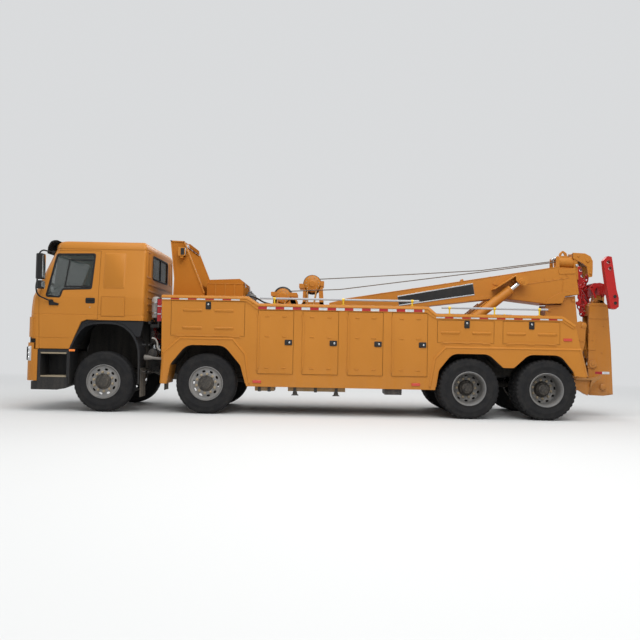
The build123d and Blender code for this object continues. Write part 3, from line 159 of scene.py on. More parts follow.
ground = Finish("pale_floor", {"Base Color": (0.66, 0.66, 0.65, 1), "Roughness": 0.8})
spot = ground.node("ShaderNodeNewGeometry", {}, {}, "Position")
depth = ground.node("ShaderNodeSeparateXYZ", {}, {0: spot}, "Y")
far_away = ground.node("ShaderNodeMapRange", {}, {"Value": depth, "From Min": 2.0, "From Max": 13.0})
looked_at = ground.node("ShaderNodeLightPath", {}, {}, "Is Camera Ray")
glow = ground.node("ShaderNodeEmission", {}, {"Color": (0.7, 0.71, 0.72, 1)})
lit = Wire(ground, ground.shader.outputs[0])
shown = ground.node("ShaderNodeMixShader", {}, {0: far_away * looked_at, 1: lit, 2: glow})
ground_nodes = ground.material.node_tree
ground_nodes.links.new(shown.socket, ground_nodes.nodes["Material Output"].inputs["Surface"])
sweep = [(-70, 0.0)] + [(26 + 9 * sin(radians(a)), 9 - 9 * cos(radians(a))) for a in range(0, 91, 6)] + [(35, 40)]
floor_mesh = bpy.data.meshes.new("floor")
floor_mesh.from_pydata(
    [(x, y, z) for y, z in sweep for x in (-90, 90)], [],
    [(2 * i, 2 * i + 1, 2 * i + 3, 2 * i + 2) for i in range(len(sweep) - 1)],
)
floor_mesh.polygons.foreach_set("use_smooth", [True] * len(floor_mesh.polygons))
floor_mesh.materials.append(ground.material)
floor = bpy.data.objects.new("floor", floor_mesh)
bpy.context.scene.collection.objects.link(floor)

sky = bpy.data.worlds.new("soft_sky")
bpy.context.scene.world = sky
sky.use_nodes = True
sky_nodes = sky.node_tree.nodes
sky_light, sky_seen = sky_nodes["Background"], sky_nodes.new("ShaderNodeBackground")
sky_light.inputs["Color"].default_value = (0.93, 0.96, 1.0, 1)
sky_light.inputs["Strength"].default_value = 0.55
sky_seen.inputs["Color"].default_value = (0.86, 0.88, 0.9, 1)
ray, seen = sky_nodes.new("ShaderNodeLightPath"), sky_nodes.new("ShaderNodeMath")
seen.operation = "MAXIMUM"
sky_mix = sky_nodes.new("ShaderNodeMixShader")
for source, socket in (
    (ray.outputs["Is Camera Ray"], seen.inputs[0]), (ray.outputs["Is Glossy Ray"], seen.inputs[1]),
    (seen.outputs[0], sky_mix.inputs[0]), (sky_light.outputs[0], sky_mix.inputs[1]),
    (sky_seen.outputs[0], sky_mix.inputs[2]), (sky_mix.outputs[0], sky_nodes["World Output"].inputs["Surface"]),
):
    sky.node_tree.links.new(source, socket)
for name, place, turn, size, power in (
    ("overhead_lamp", (1, -5, 12), (20, 0, 0), 13, 1350),
    ("side_lamp", (2, -15, 11), (54, 0, 6), 9, 820),
    ("back_lamp", (2, 14, 11), (-52, 0, -5), 9, 720),
    ("front_lamp", (-17, 1, 6), (66, 0, -92), 8, 360),
):
    lamp = bpy.data.lights.new(name, "AREA")
    lamp.size, lamp.energy = size, power
    holder = bpy.data.objects.new(name, lamp)
    holder.location, holder.rotation_euler = place, [radians(a) for a in turn]
    bpy.context.scene.collection.objects.link(holder)

# Chassis frame, engine, axles and springs: rolled and cast steel under black chassis paint that road dust
# has settled on. They are bolted up before anything else goes on the truck.


def sprayed(
    name, colour, faded, rough=0.35, coat=0.3, grime=0.3, grime_top=1.3, edge=0.004, wear=0.0, metal=0.0, shine=0.14
):
    """Paint sprayed on steel: slight colour drift, orange peel, road dust low down, and worn edges if asked."""
    paint = Finish(name, {"Metallic": metal, "Coat Weight": coat, "Coat Roughness": 0.18, "Specular IOR Level": shine})
    place = paint.place()
    drift = paint.noise(place, 0.8, 2)
    grain = paint.noise(place, 42, 5)
    streaks = paint.noise(place, 3.0, 5, (5.0, 5.0, 0.5))
    height = paint.node("ShaderNodeSeparateXYZ", {}, {0: place}, "Z")
    low = ((grime_top - height) * (1 / grime_top)).held()
    dust = (paint.step(streaks * 0.55 + grain * 0.45, 0.36, 0.66) * (low * 0.9 + 0.12)).held() * grime
    tone = paint.blend(paint.step(drift, 0.3, 0.7), (*colour, 1), (*faded, 1))
    tone = paint.blend(dust, tone, (0.33, 0.28, 0.22, 1))
    if wear:
        soft = paint.node("ShaderNodeBevel", {"samples": 4}, {"Radius": 0.008})
        true = paint.node("ShaderNodeNewGeometry", {}, {}, "Normal")
        turned = paint.node("ShaderNodeVectorMath", {"operation": "DOT_PRODUCT"}, {0: soft, 1: true}, "Value")
        chipped = paint.step((1 - turned) * 2.4 + grain * 0.5, 0.44, 0.56) * wear
        tone = paint.blend(chipped, tone, (0.16, 0.13, 0.11, 1))
        dust = (dust + chipped).held()
    paint.feed(Base_Color=tone, Roughness=(rough + dust * 0.45 + (grain - 0.5) * 0.1).held())
    paint.bumps((drift, 0.0015), (paint.noise(place, 240, 2), 0.00012), (grain * dust, 0.0006), edge=edge)
    return paint.material


def dress(material, slot, *nodes):
    """Gives CAD nodes that keep their own shape a finish."""
    for node in nodes:
        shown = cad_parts[node]
        shown.data.materials.clear()
        shown.data.materials.append(material)


chassis_black = sprayed(
    "chassis_black", (0.018, 0.018, 0.02), (0.026, 0.026, 0.026), rough=0.5, coat=0.1, grime=0.3, grime_top=1.4
)
cast_grey = sprayed(
    "cast_grey", (0.12, 0.12, 0.125), (0.17, 0.165, 0.16), rough=0.6, coat=0.0, grime=0.6, grime_top=1.8, metal=0.35
)
dress(chassis_black, "chassis_paint", "chassis_frame", "running_gear")
dress(cast_grey, "cast_metal", "engine", *[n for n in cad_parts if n.startswith("knuckle_")])

# Tyres: black rubber with moulded sidewall rings and a grooved tread, blown up on the rims until the beads seat.
# The steered ones have ribs, the driven ones have lugs cut through their shoulders.
rubber = Finish("tyre_rubber", {"Specular IOR Level": 0.12})
rubber_place = rubber.place()
rubber_dust = rubber.noise(rubber_place, 7, 5)
rubber_grit = rubber.noise(rubber_place, 90, 4)
rubber_scuff = rubber.step(rubber_dust * 0.6 + rubber_grit * 0.4, 0.42, 0.68)
rubber.feed(
    Base_Color=rubber.blend(rubber_scuff * 0.55, (0.013, 0.013, 0.014, 1), (0.042, 0.039, 0.036, 1)),
    Roughness=0.62 + rubber_scuff * 0.25,
)
rubber.bumps((rubber_grit, 0.0004), (rubber_dust, 0.0008))


class Shape:
    """Points and faces of one piece, gathered from simple solids in station, side and height."""

    def __init__(self):
        self.points, self.faces = [], []

    def add(self, points, faces):
        start = len(self.points)
        self.points += points
        self.faces += [tuple(start + i for i in face) for face in faces]
        return self

    def rings(self, rows, closed=False):
        """Loops of points joined each to the next: the last to the first if closed, and capped at both ends if not."""
        n, count = len(rows[0]), len(rows)
        caps = [] if closed else [tuple(range(n))[::-1], tuple(range((count - 1) * n, count * n))]
        return self.add([point for row in rows for point in row], caps + [
            (k * n + i, k * n + (i + 1) % n, (k + 1) % count * n + (i + 1) % n, (k + 1) % count * n + i)
            for k in range(count if closed else count - 1) for i in range(n)
        ])

    def swept(self, outline, place, low, high):
        """An outline pushed from low to high; place turns its two numbers and the distance into a point."""
        return self.rings([[place(a, b, out) for a, b in outline] for out in (low, high)])

    def side(self, outline, low, high):
        return self.swept(outline, lambda x, z, y: (x, y, z), low, high)

    def across(self, outline, low, high):
        return self.swept(outline, lambda y, z, x: (x, y, z), low, high)

    def plan(self, outline, low, high):
        return self.swept(outline, lambda x, y, z: (x, y, z), low, high)

    def slab(self, low, high):
        return self.plan([(low[0], low[1]), (high[0], low[1]), (high[0], high[1]), (low[0], high[1])], low[2], high[2])

    def turned(self, profile, centre, axis, steps=48, closed=False):
        """A profile of radius and distance along the axis, turned round it."""
        axis = Vector(axis).normalized()
        first = axis.orthogonal().normalized()
        second = axis.cross(first)
        n, points, faces = len(profile), [], []
        for i in range(steps):
            spoke = first * cos(2 * pi * i / steps) + second * sin(2 * pi * i / steps)
            points += [tuple(Vector(centre) + spoke * r + axis * out) for r, out in profile]
        for i in range(steps):
            a, b = i * n, (i + 1) % steps * n
            faces += [(a + j, a + j + 1, b + j + 1, b + j) for j in range(n - 1)]
            if closed:
                faces.append((a + n - 1, a, b, b + n - 1))
        if not closed:
            for j in (0, n - 1):
                if profile[j][0] > 0.01:
                    faces.append(tuple(i * n + j for i in range(steps)))
        return self.add(points, faces)

    def bar(self, start, end, radius, steps=20):
        """A round bar between two points, its ends eased."""
        length = (Vector(end) - Vector(start)).length
        ease = min(radius * 0.15, length * 0.2)
        return self.turned(
            [(radius - ease, 0), (radius, ease), (radius, length - ease), (radius - ease, length)],
            start, Vector(end) - Vector(start), steps,
        )

    def made(self, name, material, body, slot=None, ease=0.0, angle=38, local=False, lines=2):
        """The finished mesh object, its sharp edges eased by a small radius, riding on its body."""
        mesh = bpy.data.meshes.new(name)
        mesh.from_pydata([Vector(p) / 1000 if local else at(*p) for p in self.points], [], self.faces)
        tidy = bmesh.new()
        tidy.from_mesh(mesh)
        bmesh.ops.remove_doubles(tidy, verts=tidy.verts, dist=1e-6)
        bmesh.ops.recalc_face_normals(tidy, faces=tidy.faces)
        tidy.to_mesh(mesh)
        tidy.free()
        mesh.materials.append(material)
        mesh.polygons.foreach_set("use_smooth", [True] * len(mesh.polygons))
        mesh.set_sharp_from_angle(angle=radians(angle))
        made = bpy.data.objects.new(name, mesh)
        bpy.context.scene.collection.objects.link(made)
        if ease:
            eased = made.modifiers.new("eased_edges", "BEVEL")
            eased.width, eased.segments, eased.harden_normals = ease / 1000, lines, True
            eased.limit_method, eased.angle_limit = "ANGLE", radians(angle)
        if body:
            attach(made, body)
        return made


TYRE_R = 532


def tyre_shape(lugs):
    """Tyre section turned in fine steps; the shoulder blocks drop where a groove crosses them."""
    half = [
        (292, 112, 0), (291, 126, 0), (300, 134, 0), (312, 137, 0), (318, 134, 0), (352, 142, 0), (400, 148, 0),
        (404, 149.5, 0), (412, 149.5, 0), (416, 148, 0), (446, 147, 0), (478, 140, 0), (482, 141, 0), (488, 139, 0),
        (504, 131, 1), (518, 124, 1), (526, 114, 1), (530, 98, 1), (531, 82, 1), (517, 80, 0), (517, 70, 0),
        (531.5, 68, 2), (532, 34, 2), (518, 32, 0), (518, 22, 0), (532, 20, 2), (532, 0, 2),
    ]
    profile = half + [(r, -out, kind) for r, out, kind in reversed(half[:-1])]
    steps = 200
    points, faces, n = [], [], len(profile)
    for i in range(steps):
        for r, out, kind in profile:
            cut = 0
            if kind == 1 and i % 5 < 2:
                cut = 13 if lugs else 6
            if kind == 2 and lugs and (i + (2 if out > 0 else 0)) % 5 == 0:
                cut = 12
            angle = 2 * pi * i / steps
            points.append(((r - cut) * cos(angle), out, (r - cut) * sin(angle)))
    for i in range(steps):
        a, b = i * n, (i + 1) % steps * n
        faces += [(a + j, a + j + 1, b + j + 1, b + j) for j in range(n - 1)]
        faces.append((a + n - 1, a, b, b + n - 1))
    return Shape().add(points, faces)


steer_tyre = tyre_shape(False).made("tyre_1_left", rubber.material, None, angle=50, local=True)
drive_tyre = tyre_shape(True).made("tyre_3_left_outer", rubber.material, None, angle=50, local=True)

# Rims: pressed steel discs welded in rolled barrels and painted grey, dusty from the road. The front ones bulge
# outward round the hub; the rear ones are dished, in pairs on a shared hub, held by ten nuts.
rim_grey = sprayed(
    "rim_grey", (0.15, 0.152, 0.155), (0.2, 0.2, 0.2), rough=0.48, coat=0.1, grime=0.35, grime_top=1.2, metal=0.5
)
hub_dark = sprayed(
    "hub_dark", (0.022, 0.022, 0.022), (0.034, 0.033, 0.032), rough=0.55, coat=0.0, grime=0.25, grime_top=1.2
)
nut_steel = sprayed(
    "nut_steel", (0.42, 0.36, 0.26), (0.3, 0.24, 0.16), rough=0.4, coat=0.0, grime=0.5, grime_top=1.1, metal=0.8
)


def cut_away(target, cutter):
    """Takes the cutter's space out of the target and throws the cutter away."""
    taking = target.modifiers.new("cut", "BOOLEAN")
    taking.object, taking.solver, taking.operation = cutter, "MANIFOLD", "DIFFERENCE"
    target.modifiers.move(len(target.modifiers) - 1, 0)
    others = [(m, m.show_viewport) for m in target.modifiers if m.name != "cut"]
    for m, shown in others:
        m.show_viewport = False
    bpy.context.view_layer.update()
    result = bpy.data.meshes.new_from_object(target.evaluated_get(bpy.context.evaluated_depsgraph_get()))
    target.modifiers.remove(taking)
    for m, shown in others:
        m.show_viewport = shown
    result.name = target.data.name
    target.data = result
    bpy.data.objects.remove(cutter)
    return target


def oval_holes(ring_r, count, along, across, low, high):
    """Cutter for a ring of oval hand holes through a wheel disc."""
    holes = Shape()
    for i in range(count):
        turn = 2 * pi * (i + 0.5) / count
        oval = []
        for k in range(20):
            a = 2 * pi * k / 20
            u, v = ring_r + across * cos(a), along * sin(a)
            oval.append((u * cos(turn) - v * sin(turn), u * sin(turn) + v * cos(turn)))
        holes.swept(oval, lambda x, z, y: (x, y, z), low, high)
    return holes.made("holes", rim_grey, None, local=True)


def nuts(ring_r, count, low, high, across_flats):
    """Ring of hexagon nuts with their washers and stud ends."""
    ring = Shape()
    for i in range(count):
        turn = 2 * pi * i / count
        x, z = ring_r * cos(turn), ring_r * sin(turn)
        for r, a, b, sides in (
            (across_flats * 0.72, low, low + (high - low) * 0.2, 20), (across_flats * 0.58, low, high, 6),
            (across_flats * 0.3, low, high + (high - low) * 0.35, 12)
        ):
            ring.turned([(r, 0), (r, abs(b - a))], (x, a, z), (0, 1 if b > a else -1, 0), sides)
    return ring


front_rim = Shape().turned(
    [
        (298, -142), (299, -136), (290, -128), (289, -108), (276, -100), (270, -60), (268, 60), (278, 104),
        (289, 110), (290, 128), (299, 134), (299, 142), (286, 144), (280, 134), (268, 122), (252, 118), (228, 120),
        (196, 132), (182, 136), (140, 136), (136, 132), (136, 116), (186, 120), (240, 104), (252, 92), (254, 70),
        (256, -60), (264, -104), (276, -112), (280, -130), (290, -142)
    ],
    (0, 0, 0), (0, -1, 0), 96, closed=True,
).made("rim_1_left", rim_grey, None, angle=30, local=True, ease=1.2)
cut_away(front_rim, oval_holes(214, 10, 32, 19, -40, -200))
front_hub = Shape().turned(
    [(120, -30), (139, 60), (139, 138), (128, 150), (104, 152), (100, 158), (96, 178), (88, 183), (52, 185), (0, 185)],
    (0, 0, 0), (0, -1, 0), 48,
)
for i in range(8):
    a = 2 * pi * (i + 0.5) / 8
    front_hub.turned([(9, 0), (9, 9), (5, 12)], (76 * cos(a), -181, 76 * sin(a)), (0, -1, 0), 6)
front_hub = front_hub.made("hub_1_left", hub_dark, None, angle=30, local=True, ease=1.5)
front_nuts = nuts(167.5, 10, -136, -164, 33).made("nuts_1_left", nut_steel, None, angle=30, local=True, ease=1.0)

rim_section = [
    (298, 28), (299, 34), (289, 42), (288, 62), (274, 70), (268, 100), (266, 262), (276, 270), (289, 278), (290, 298),
    (299, 304), (299, 312), (286, 314), (279, 304), (270, 290), (262, 276), (256, 262), (252, 110), (246, 74),
    (236, 60), (206, 34), (182, 20), (140, 16), (140, 2), (186, 4), (214, 18), (246, 44), (262, 60), (278, 56),
    (282, 40), (290, 28),
]
rear_rim = Shape().turned(
    rim_section, (0, 0, 0), (0, -1, 0), 96, closed=True,
).made("rim_3_left", rim_grey, None, angle=30, local=True, ease=1.2)
cut_away(rear_rim, oval_holes(222, 10, 28, 18, 20, -160))
inner_rim = Shape().turned(
    [(r, -out) for r, out in rim_section[:13] + rim_section[15:-1]], (0, 0, 0), (0, -1, 0), 72, closed=True,
).made("rim_3_left_inner", rim_grey, None, angle=30, local=True)
rear_hub = Shape().turned([
    (200, -255), (205, -250), (205, -70), (150, -60), (139, -20), (139, 26), (126, 40), (122, 96), (112, 104),
    (104, 106), (98, 132), (88, 150), (60, 158), (56, 170), (20, 172), (0, 172)
], (0, 0, 0), (0, -1, 0), 48,)
for i in range(12):
    a = 2 * pi * (i + 0.5) / 12
    rear_hub.turned([(7, 0), (7, 8), (4, 11)], (112 * cos(a), -103, 112 * sin(a)), (0, -1, 0), 6)
rear_hub = rear_hub.made("hub_3_left", hub_dark, None, angle=30, local=True, ease=1.5)
rear_nuts = nuts(167.5, 10, -18, -50, 33).made("nuts_3_left", nut_steel, None, angle=30, local=True, ease=1.0)

FRONT_TRACK, REAR_TRACK, TWIN = 1020, 915, 170
AXLES = ((1, 0), (2, 1800), (3, 6400), (4, 7750))
SIDES = ((-1, "left"), (1, "right"))
for number, station in AXLES:
    steered = number < 3
    for hand, word in SIDES:
        wheel = f"wheel_{number}_{word}"
        spin = 0.21 * number + (0.4 if hand > 0 else 0.0)
        parts = (
            [
                (steer_tyre, "tyre", 0, "tyre_rubber"), (front_rim, "rim", 0, "cast_metal"),
                (front_hub, "hub", 0, "cast_metal"), (front_nuts, "nuts", 0, "chrome_rod")
            ]
            if steered else [
                (drive_tyre, "tyre", TWIN, "tyre_rubber"), (drive_tyre, "tyre_inner", -TWIN, "tyre_rubber"),
                (rear_rim, "rim", 0, "cast_metal"), (inner_rim, "rim_inner", 0, "cast_metal"),
                (rear_hub, "hub", 0, "cast_metal"), (rear_nuts, "nuts", 0, "chrome_rod")
            ]
        )
        for pattern, part, out, slot in parts:
            copy = bpy.data.objects.new(f"{part}_{number}_{word}_piece", pattern.data)
            for eased in pattern.modifiers:
                again = copy.modifiers.new(eased.name, "BEVEL")
                again.width, again.segments, again.limit_method = eased.width, eased.segments, "ANGLE"
                again.angle_limit, again.harden_normals = eased.angle_limit, True
            bpy.context.scene.collection.objects.link(copy)
            copy.matrix_world = (
                Matrix.Translation(at(station, hand * ((FRONT_TRACK if steered else REAR_TRACK) + out), TYRE_R))
                @ Matrix.Rotation(pi if hand > 0 else 0, 4, "Z")
                @ Matrix.Rotation(0 if "tyre" in part else spin, 4, "Y")
            )
            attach(copy, wheel)
            if part == "tyre":
                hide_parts(wheel)
for pattern in (steer_tyre, drive_tyre, front_rim, rear_rim, inner_rim, front_hub, rear_hub, front_nuts, rear_nuts):
    bpy.data.objects.remove(pattern)


# Cab: pressed steel panels spot-welded over a frame, its roof edge rolled over and its front corners rounded, sprayed
# yellow-orange. The doors are cut from the same skin, and black rubber seals hold the tinted windows.
yellow = sprayed(
    "yellow_paint", (0.485, 0.188, 0.026), (0.44, 0.168, 0.022), rough=0.4, coat=0.1, grime=0.12, grime_top=1.0
)
seal_black = sprayed("seal_black", (0.012, 0.012, 0.013), (0.022, 0.022, 0.022), rough=0.55, coat=0.0, grime=0.15)
trim_black = sprayed(
    "trim_black", (0.013, 0.014, 0.016), (0.02, 0.02, 0.021), rough=0.5, coat=0.05, grime=0.13, grime_top=1.3
)
tinted = Finish("tinted_glass", {"IOR": 1.52, "Specular IOR Level": 0.6})
smear = tinted.noise(tinted.place(), 3.0, 4)
tinted.feed(
    Roughness=smear * 0.06, Alpha=0.4 + smear * 0.16,
    Base_Color=tinted.blend(smear, (0.014, 0.023, 0.019, 1), (0.036, 0.052, 0.044, 1)),
)
liner_dark = sprayed(
    "liner_dark", (0.01, 0.01, 0.01), (0.022, 0.021, 0.02), rough=0.8, coat=0.0, grime=0.2, grime_top=1.6
)
CAB_FRONT, CAB_REAR, CAB_HALF, CAB_CORNER = -1366, 690, 1240, 150
CAB_CREASE, CAB_BELT, CAB_EAVES, EAVES_HALF = 1640, 2004, 2860, 1135
WALL = 45


def cab_row(z):
    """Front station, half width and corner radius of the cab at a height up to the eaves."""
    if z < CAB_BELT:
        share = max(0.0, (z - CAB_CREASE) / (CAB_BELT - CAB_CREASE))
        return CAB_FRONT + 28 + 29 * share * share, CAB_HALF, CAB_CORNER
    share = (z - CAB_BELT) / (CAB_EAVES - CAB_BELT)
    return -1309 + 347 * share, CAB_HALF + (EAVES_HALF - CAB_HALF) * share, CAB_CORNER + 20 * share


def cab_side(z):
    """How far out the cab's flank stands at a height."""
    return cab_row(min(z, CAB_EAVES))[1]


def cab_ring(z, front, half, corner, rear, bow=30):
    """The cab's plan at one height: bowed front, round corners and a flat back."""
    edge = half - corner
    left = [(rear, 0), (rear, half - 45)]
    left += [(rear - 45 + 45 * cos(radians(a)), half - 45 + 45 * sin(radians(a))) for a in (30, 60, 90)]
    nose = front + bow * (edge / half) ** 2
    left += [(nose + corner - corner * sin(radians(a)), edge + corner * cos(radians(a))) for a in range(0, 91, 10)]
    left += [(front + bow * (edge * s / half) ** 2, edge * s) for s in (0.75, 0.5, 0.25)] + [(front, 0)]
    return [(x, -y, z) for x, y in left] + [(x, y, z) for x, y in reversed(left[1:-1])]


def cab_solid(inset, low):
    """Closed cab body drawn in by an inset, with its shallow crease lines and rolled roof edge."""
    rows = []
    heights = [low] + [z for z in (
        1284, 1288, 1294, 1298, 1640, 1688, 1692, 1698, 1702, 1780, 1860, 1940, CAB_BELT
    ) if z > low]
    for z in heights + [2030, 2200, 2400, 2600, 2800, 2846, 2850, 2858, CAB_EAVES]:
        front, half, corner = cab_row(z)
        dip = 3.5 if z in (1288, 1294, 1692, 1698, 2850, 2858) and not inset else 0
        rows.append(cab_ring(z, front + inset + dip, half - inset - dip, corner - inset * 0.4, CAB_REAR - inset))
    for a in range(0, 91, 10):
        run, lift = 1 - cos(radians(a)), sin(radians(a))
        rows.append(cab_ring(
            CAB_EAVES + 6 + 136 * lift - inset, -962 + 82 * run + inset, EAVES_HALF + 5 - 96 * run - inset,
            175 + 25 * run - inset * 0.4, CAB_REAR - 60 * run - inset,
        ))
    for share, z in ((0.8, 3006), (0.5, 3012), (0.2, 3015)):
        rows.append(cab_ring(
            z - inset, -880 * share + inset, 1044 * share - inset * 0.5, 200 * share, 630 * share - inset, 30 * share
        ))
    return Shape().rings(rows)


def rounded(corners, radius, steps=5):
    """An outline with each corner turned through a small arc."""
    smooth = []
    for i, corner in enumerate(corners):
        size = radius[i] if isinstance(radius, (list, tuple)) else radius
        if not size:
            smooth.append(tuple(corner))
            continue
        here = Vector(corner)
        back, on = Vector(corners[i - 1]) - here, Vector(corners[(i + 1) % len(corners)]) - here
        opened = back.angle(on) / 2
        reach = min(size / max(tan_of(opened), 0.05), back.length * 0.48, on.length * 0.48)
        start, end = here + back.normalized() * reach, here + on.normalized() * reach
        for k in range(steps + 1):
            t = k / steps
            smooth.append(tuple(start * (1 - t) ** 2 + here * 2 * t * (1 - t) + end * t * t))
    return smooth


def tan_of(angle):
    return sin(angle) / max(cos(angle), 1e-6)


def box_outline(low_x, high_x, low_z, high_z):
    return [(low_x, low_z), (high_x, low_z), (high_x, high_z), (low_x, high_z)]


def soft_box(low_x, high_x, low_z, high_z, radius):
    return rounded(box_outline(low_x, high_x, low_z, high_z), radius)


def carve(target, tool, how="DIFFERENCE", keep=False):
    """Joins, cuts or keeps what two closed meshes share, and throws the tool away."""
    step = target.modifiers.new("carve", "BOOLEAN")
    step.object, step.solver, step.operation = tool, "MANIFOLD", how
    bpy.context.view_layer.update()
    result = bpy.data.meshes.new_from_object(target.evaluated_get(bpy.context.evaluated_depsgraph_get()))
    target.modifiers.remove(step)
    target.data = result
    if not keep:
        bpy.data.objects.remove(tool)
    return target


def like(shape, name="tool"):
    return shape.made(name, yellow, None)


def span(hand, near, far):
    """Two distances out from the centre line, in rising order whichever side of the truck is meant."""
    return sorted((hand * near, hand * far))


def wedge(outline, hand, out=60, deep=260):
    """Cutting block through one flank of the cab."""
    return like(Shape().side(outline, *span(hand, CAB_HALF + out, CAB_HALF - deep)))


cab_door_line = rounded([
    (-1112, 1094), (-1144, 1975), (-938, 2818), (-110, 2828), (-110, 1622), (-304, 1614), (-402, 1568), (-594, 1096)
], 22)
cab_window_line = rounded([(-1030, 2000), (-880, 2765), (-200, 2780), (-235, 2150), (-737, 2130), (-776, 1992)], 42, 6)
floor_line = [(-1420, 900), (-1420, 1265), (-1178, 1265), (-1178, 1090), (800, 1090), (800, 900)]
arch_line = [(-589, 900), (-589, 1100), (-392, 1566), (-304, 1606), (800, 1606), (800, 900)]
floor_inside = [(-1420, 900), (-1420, 1310), (-1133, 1310), (-1133, 1135), (800, 1135), (800, 900)]
arch_inside = [(-634, 900), (-634, 1100), (-430, 1600), (-320, 1651), (800, 1651), (800, 900)]
hollow = like(cab_solid(WALL, 1010))
for line in (floor_inside, arch_inside):
    carve(hollow, like(Shape().side(line, -1300, 1300)))
cab_skin = like(cab_solid(0, 1000), "cab_skin")
carve(cab_skin, hollow)
for line in (floor_line, arch_line):
    carve(cab_skin, like(Shape().side(line, -1300, 1300)))
band = like(cab_solid(-12, 1000))
carve(band, like(cab_solid(WALL + 6, 990)))
whole = like(cab_solid(0, 1000))
carve(whole, like(cab_solid(WALL, 990)))
for hand, word in SIDES:
    grown = []
    for x, z in cab_door_line:
        shift = 5 if x > -590 and z > 1620 else -5 if x < -900 else 4
        grown.append((x + shift, z + (5 if z > 2700 else -5)))
    cutter = wedge(grown, hand)
    carve(cutter, band, "INTERSECT", keep=True)
    carve(cab_skin, cutter)
    door = wedge(cab_door_line, hand, 60, 240)
    carve(door, whole, "INTERSECT", keep=True)
    carve(door, wedge(cab_window_line, hand))
    door.name = f"cab_door_{word}_panel"
    door.data.materials.clear()
    door.data.materials.append(yellow)
    door.data.set_sharp_from_angle(angle=radians(35))
    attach(door, f"cab_door_{word}")
    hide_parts(f"cab_door_{word}")
windscreen_line = rounded([(-1010, 2085), (1010, 2085), (925, 2790), (-925, 2790)], 60)
back_window_line = soft_box(-620, 620, 2396, 2811, 45)
carve(cab_skin, like(Shape().across(windscreen_line, -1500, -700)))
carve(cab_skin, like(Shape().across(back_window_line, 600, 760)))
for hand in (-1, 1):
    groove = wedge(soft_box(-59, 364, 1668, 2018, 12), hand, 20, 8)
    carve(groove, wedge(soft_box(-53, 358, 1674, 2012, 10), hand, 30, 30))
    carve(cab_skin, groove)
for tool in (band, whole):
    bpy.data.objects.remove(tool)
cab_skin.name = "cab_skin"
cab_skin.data.materials.clear()
cab_skin.data.materials.append(yellow)
cab_skin.data.set_sharp_from_angle(angle=radians(35))
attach(cab_skin, "chassis")
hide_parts("cab_shell")


def on_flank(shape, outline, hand, out, back):
    """Plate laid on the cab's flank, following its slope: proud by out and sunk by back."""
    return shape.rings([[(x, hand * (cab_side(z) + d), z) for x, z in outline] for d in (out, -back)])


def ring_on_flank(shape, outer, inner, hand, out, back):
    """Seal between two outlines on the cab's flank."""
    lines = ((outer, out), (inner, out), (inner, -back), (outer, -back))
    return shape.rings([[(x, hand * (cab_side(z) + d), z) for x, z in line] for line, d in lines], closed=True)


def shrunk(outline, inset):
    """An outline drawn in evenly towards its own middle side by side."""
    n, inner = len(outline), []
    area = sum(outline[i - 1][0] * outline[i][1] - outline[i][0] * outline[i - 1][1] for i in range(n))
    turn = 1 if area > 0 else -1
    for i, corner in enumerate(outline):
        back, on = Vector(outline[i - 1]), Vector(outline[(i + 1) % n])
        way = (on - back).normalized()
        inner.append((corner[0] - way.y * inset * turn, corner[1] + way.x * inset * turn))
    return inner


for hand, word in SIDES:
    body = f"cab_door_{word}"
    seal = Shape()
    ring_on_flank(seal, shrunk(cab_window_line, -7), shrunk(cab_window_line, 24), hand, 5, 16)
    on_flank(seal, [(-663, 2655), (-639, 2655), (-693, 2190), (-717, 2190)], hand, 2, 14)
    on_flank(seal, box_outline(-664, -228, 2652, 2675), hand, 2, 14)
    on_flank(seal, [(-716, 2200), (-718, 2170), (-250, 2180), (-250, 2205)], hand, 2, 14)
    seal.made(f"{body}_window_seal", seal_black, body, "trim_plastic", ease=3)
    pane = on_flank(Shape(), shrunk(cab_window_line, 12), hand, -8, 14).made(
        f"{body}_pane", tinted.material, body, "clear_glass"
    )
    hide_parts(f"door_glass_{word}")
    grip = on_flank(Shape(), soft_box(-330, -164, 1894, 1992, 26), hand, 6, 4)
    grip.made(f"{body}_handle_cup", seal_black, body, "trim_plastic", ease=4)
    bar = on_flank(Shape(), soft_box(-312, -182, 1948, 1980, 13), hand, 24, -4)
    bar.made(f"{body}_handle", trim_black, body, "trim_plastic", ease=6)
    Shape().turned([(0, 0), (12, 0), (12, 5), (5, 6), (0, 6)], (-252, hand * CAB_HALF, 1826), (0, hand, 0), 20).made(
        f"{body}_lock", nut_steel, body, "chrome_rod"
    )
    emboss = Shape()
    for foot, slope, proud in (
        (soft_box(-39, 349, 2159, 2802, 46), 24, 13), (soft_box(-46, 351, 1681, 2005, 16), 3, 5),
    ):
        emboss.rings([
            [(x, hand * (cab_side(z) + d), z) for x, z in line]
            for line, d in ((foot, -2), (shrunk(foot, slope), proud))
        ])
    emboss.made(f"side_panel_bead_{word}", yellow, "chassis", "yellow_paint", ease=6, lines=3)
    on_flank(Shape(), soft_box(110, 250, 2232, 2246, 6), hand, 3, 2).made(
        f"side_panel_rib_{word}", yellow, "chassis", "yellow_paint", ease=2
    )
    on_flank(Shape(), [(-1096, 1286), (-1100, 1300), (-520, 1300), (-528, 1286)], hand, 4, 2).made(
        f"{body}_lower_rib", yellow, body, "yellow_paint", ease=2
    )

# Windscreen, rear windows and the front's black grille with its slats, all fitted from outside after painting.
glass = Shape()


def screen_x(y, z, inset):
    front, half, corner = cab_row(z)
    over = max(0.0, abs(y) - (half - corner))
    bow = 30 * (min(abs(y), half - corner) / half) ** 2
    return front + bow + corner - sqrt(max(corner * corner - over * over, 1)) + inset


